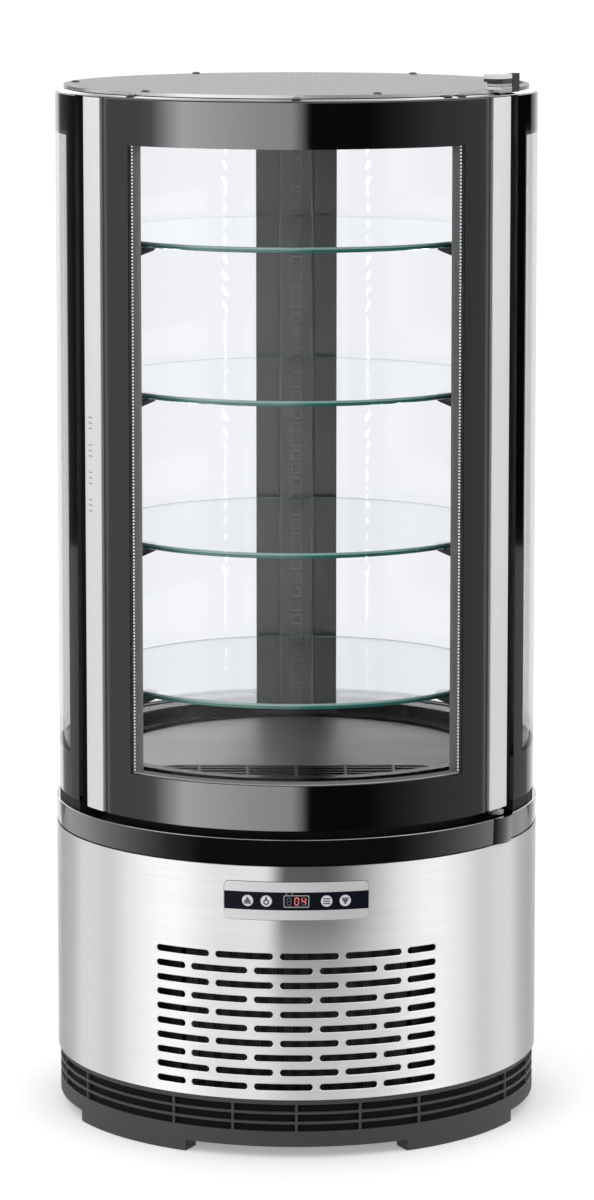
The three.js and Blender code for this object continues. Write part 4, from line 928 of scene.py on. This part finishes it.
def curved_pane(inner, outer, start, turn, low, high, window=None, step=1):
    """A pane with eased edges. Outside the window, (half angle, low, high), its front is printed."""
    ease = 0.4
    section = [(inner, low + ease), (inner + ease, low), (outer - ease, low), (outer, low + ease),
               (outer, high - ease), (outer - ease, high), (inner + ease, high), (inner, high - ease)]
    pane = spun(section, start, turn, step)
    if window:
        half, window_low, window_high = window
        across, side_on = math.cos(math.radians(half)), math.sin(math.radians(half))
        facing = Matrix.Rotation(math.radians(start + turn / 2), 3, "Z")
        for side in (-1, 1):
            cut(pane, (0, 0, 0), facing @ Vector((across, side * side_on, 0)))
        for level in (window_low, window_high):
            cut(pane, (0, 0, level), (0, 0, 1))
        ahead = (facing @ Vector((0, -1, 0))).xy
        between = (inner + outer) / 2

        def printed(face, spot):
            aside = math.degrees(spot.xy.angle(ahead)) > half
            return (aside or not window_low < spot.z < window_high) and spot.xy.length > between
        painted(pane, printed)
    return pane


def edge_frame(inner, outer, start, turn, low, high, post, low_band, high_band):
    """A frame round a curved opening: a band below and above, and a post at either side."""
    window_low, window_high = low + low_band, high - high_band
    post_section = rectangle(inner, outer, window_low, window_high)
    return [spun(rectangle(inner, outer, low, window_low), start, turn),
            spun(rectangle(inner, outer, window_high, high), start, turn),
            spun(post_section, start, post), spun(post_section, start + turn - post, post)]


side_clear = pane_glass("side_clear", 0.01)
inner_clear = pane_glass("side_inner_clear", 0.03)
spacer_black = grained("spacer_black", (0.01, 0.01, 0.011, 1), 0.35, scale=600)
outer_glass, side_inner_glass = (218, 222), (207.7, 211.7)
side_low, side_high, ceiling_low, side_band = 301, 949.2, 912.2, 43.4
side_reach = (side_start, side_turn, side_low, side_high)
side_window = (110, side_low + side_band, ceiling_low)
outer_side = curved_pane(*outer_glass, *side_reach, side_window)
placed("side_pane_outer", outer_side, "cabinet", "glass", side_clear, gloss_black,
       replaces=["side_glass_outer"])
inner_side = curved_pane(*side_inner_glass, *side_reach)
placed("side_pane_inner", inner_side, "cabinet", "glass", inner_clear, replaces=["side_glass_inner"])
side_frame = edge_frame(212, 217.7, *side_reach, 6, side_band, side_high - ceiling_low)
placed("side_spacer", joined(*side_frame), "cabinet", "black_print", spacer_black,
       replaces=["side_glass_frame"])

# Roof: a gloss black moulded rim that sits on the glazing, round a grey steel plate with a fine
# woven pattern and bare cut edges. Small black screws hold both.
rim_low, rim_inner, rim_outer, rim_crest = 949.5, 190, 222, 952
roof_ring = spun([(rim_inner, rim_low), (rim_outer - 0.4, rim_low), (rim_outer, rim_low + 0.4),
                  (rim_outer - 0.4, rim_low + 1), (215, rim_crest), (rim_inner, rim_crest)])
placed("roof_rim", roof_ring, "cabinet", "gloss_black", gloss_black, replaces=["roof_ring"])
roof_grey, mix = new_material("roof_grey")
place = mix.place()
warp, weft = (
    mix.node("TexWave", {"wave_type": "BANDS", "bands_direction": axis}, {"Vector": place, "Scale": scale})
    for axis, scale in (("X", 110), ("Y", 60))
)
weave = warp * weft
mix.finish({"Base Color": weave.tint((0.22, 0.22, 0.222, 1), (0.4, 0.4, 0.403, 1)), "Roughness": 0.45,
            "Normal": weave.bump(0.25, 0.0004)})
edge_steel = brushed("cut_edge", (0.7, 0.7, 0.71, 1), 0.2, (10, 0, 900))
corner = Matrix.Rotation(math.radians(hinge_angle), 3, "Z")
across, ahead = corner @ Vector((1, 0, 0)), corner @ Vector((0, -1, 0))
cover_radius, cover_low, cover_wall = 214.2, 952.3, 2.9
notch_left, notch_right, notch_depth = -9.8, 25.1, 206.2
roof = bmesh.new()
bmesh.ops.create_circle(roof, cap_ends=True, segments=240, radius=cover_radius)
for reach, normal in ((notch_left, across), (notch_right, across), (notch_depth, ahead)):
    cut(roof, normal * reach, normal)
notch = []
for face in roof.faces:
    spot = face.calc_center_median()
    if notch_left < spot.dot(across) < notch_right and spot.dot(ahead) > notch_depth:
        notch.append(face)
bmesh.ops.delete(roof, geom=notch, context="FACES")
moved(roof, z=cover_low)
drawn_out(roof, roof.faces, (0, 0, cover_wall))
painted(faced(roof), lambda face, spot: abs(face.normal.z) < 0.5)
placed("roof_cover", roof, "cabinet", "roof_grey", roof_grey, edge_steel, replaces=["roof_plate"])

screw_black = grained("screw_black", (0.02, 0.02, 0.022, 1), 0.3)
cover_top, rim_slope = cover_low + cover_wall, 951.4
screws = []
for seat, reach, angles in ((cover_top, 205, (-95, -152, 147, 90)), (cover_top, 208, (-40, 20)),
                            (rim_slope, 217.6, (-42.6, 0, 38, 42.4, 180))):
    for angle in angles:
        head = spun([(0, seat + 1.8), (2.4, seat + 1.8), (3.8, seat + 1), (4.2, seat), (0, seat)], step=15)
        spin_to = math.radians(angle)
        screws.append(moved(head, reach * math.sin(spin_to), -reach * math.cos(spin_to)))
placed("roof_screws", joined(*screws), "cabinet", "matte_plastic", screw_black)

# Upper hinge: a plated block with a chamfered cap, bolted through the rim, and a black steel
# bracket beside it. Its pin reaches down into the door's hinge profile.
dark_steel = brushed("dark_steel", (0.5, 0.5, 0.505, 1), 0.22, (10, 0, 900))
cap_grey = grained("cap_grey", (0.86, 0.86, 0.865, 1), 0.25, scale=200)
cap_low, cap_height, cap_half, cap_back, cap_front, chamfer = 962.1, 6.9, 10.5, 9, -9, 4
cap_waist, neck_waist = 965, 960.2
block = eased(box(21, 15, 5.3, -1, 0, 954.95), 0.8)
painted(block, lambda face, spot: 1)
neck = eased(box(20, 14.5, 4.5, -1, 0, 959.8), 0.4)
plan = [(-cap_half - chamfer, cap_back), (-cap_half - chamfer, cap_front + chamfer),
        (-cap_half, cap_front), (cap_half - chamfer, cap_front), (cap_half, cap_front + chamfer),
        (cap_half, cap_back)]
cap = eased(drawn_shape([(x, y, cap_low) for x, y in plan], (0, 0, cap_height)), 0.7)
cut(cap, (0, 0, cap_waist), (0, 0, 1))
cut(neck, (0, 0, neck_waist), (0, 0, 1))
painted(cap, lambda face, spot: 0 if spot.z > cap_waist else 2)
painted(neck, lambda face, spot: 2 if spot.z > neck_waist else 1)
pin = spun([(0, 937), (2.4, 937), (3, 937.6), (3, 953), (0, 953)], step=15)
hinge = moved(joined(block, neck, cap, pin), y=-hinge_radius, turn=hinge_angle)
placed("hinge_top", hinge, "cabinet", "chrome", cap_grey, dark_steel, post_black,
       replaces=["upper_hinge_block"])
bracket = moved(eased(box(14, 7.3, 16.7, 17.8, -217, 960.65), 0.6), turn=hinge_angle)
placed("hinge_bracket", bracket, "cabinet", "matte_plastic", black_and_foot_shade,
       replaces=["upper_hinge_bracket"])

# Door: a curved double-glazed unit with a wide black print, a bright perforated spacer round the
# window whose dots glow with painted light, and a rubber gasket behind, held between two aluminium
# profiles.
door_inner_glass, door_low, door_high, door_half, window_top = (208, 212), 300, 949, 50.5, 908
outer_window, inner_window = (42.4, 341, window_top), (40.7, 343.6, window_top)
door_reach = (-door_half, 2 * door_half, door_low, door_high)
window_clear = pane_glass("door_clear", 0.004)
outer_pane = curved_pane(*outer_glass, *door_reach, outer_window, 0.75)
placed("door_pane_outer", outer_pane, "door", "glass", window_clear, gloss_black,
       replaces=["door_glass_outer"])
inner_print = grained("inner_print", (0.24, 0.24, 0.242, 1), 0.35, scale=200, depth=0.0, spread=0.03)
inner_pane = curved_pane(*door_inner_glass, *door_reach, inner_window, 0.75)
placed("door_pane_inner", inner_pane, "door", "glass", window_clear, inner_print,
       replaces=["door_glass_inner"])
dotted, mix = new_material("perforated_spacer")
spot = mix.spot()
level_face = mix.node("SeparateXYZ", None, {0: mix.node("TexCoord", out="Normal")}).part("Z") > 0.5
dot_pitch, spacer_radius, dots_to = 0.003, 0.215, 0.2142
up_dots = mix.sum("SINE", spot.part("Z") * (math.tau / dot_pitch)) > 0
angle_round = mix.sum("ARCTAN2", spot, spot.part("Y") * -1)
side_dots = mix.sum("SINE", angle_round * (spacer_radius * math.tau / dot_pitch)) > 0
reach = (spot * spot + spot.part("Y") * spot.part("Y")) ** 0.5
dots = (up_dots * (1 - level_face) + side_dots * level_face) * (reach < dots_to)
# Painted light: the spacer's light dots glow, though the spacer is no lamp.
mix.finish({"Base Color": dots.tint((0.06, 0.06, 0.062, 1), (0.95, 0.95, 0.94, 1)), "Roughness": 0.3,
            "Emission Color": dots.tint(grey(0), grey(1)), "Emission Strength": 0.6})
door_frame = edge_frame(212.3, 217.7, *door_reach, door_half - 43.3, 40.4, 41)
placed("door_spacer", joined(*door_frame), "door", "black_print", dotted,
       replaces=["door_glass_frame"])
rubber = grained("gasket_rubber", grey(0.015), 0.6, scale=500, depth=0.1)
seal = edge_frame(201, 207.7, 1 - door_half, 2 * door_half - 2, door_low + 6, door_high - 6, 3, 8, 8)
placed("door_seal", joined(*[eased(part, 0.8) for part in seal]), "door", "gasket", rubber,
       replaces=["door_gasket"])

# Door profiles: extruded aluminium, anodised silver, the full height of the door. The right one
# takes the hinge pins, and the left one stands out past its body, so fingers pull behind it.
anodised, mix = new_material("anodised_aluminium")
place = mix.place()
lines = mix.node("Mapping", None, {"Vector": place, "Scale": (1500, 1500, 12)}).noise(1, 5)
mix.finish({"Base Color": lines.tint((0.78, 0.78, 0.785, 1), (0.92, 0.92, 0.925, 1)), "Metallic": 0.6,
            "Roughness": lines * 0.08 + 0.34, "Normal": lines.bump(0.05, 0.0002)})
body_start, face_end = 52.5, 60


def profile_part(side, inner, outer, start, end, ease):
    section = rectangle(inner, outer, door_low, door_high)
    return eased(spun(section, start if side > 0 else -end, end - start, 0.8), ease)


def door_profile(side, body_end):
    """A face strip, the body behind it, and a dark groove between the body and the glass."""
    groove = painted(profile_part(side, 208, 219, 50.58, 53, 0.3), lambda face, spot: 1)
    return joined(profile_part(side, 219, 222, body_start, face_end + side * 0.3, 0.9),
                  profile_part(side, 208, 220, body_start, body_end, 0.5), groove)


placed("profile_hinge_side", door_profile(1, 60.4), "door", "anodised", anodised, post_black,
       replaces=["hinge_profile"])
placed("profile_handle", door_profile(-1, 56.5), "door", "anodised", anodised, post_black,
       replaces=["handle_profile"])
grip_mark = inked("grip_mark", (0.52, 0.44, 0.42, 1), 0.4, Metallic=0.5)
grip_top, grip_pitch, grip_angle = 655, 25, -57
grips = []
for row in range(4):
    for lift in (-5, 0, 5):
        mark = eased(box(6, 0.5, 1.4, 0, -222.1, grip_top - row * grip_pitch + lift), 0.2, 1)
        grips.append(moved(mark, turn=grip_angle))
placed("grip_marks", joined(*grips), "door", "anodised", grip_mark)
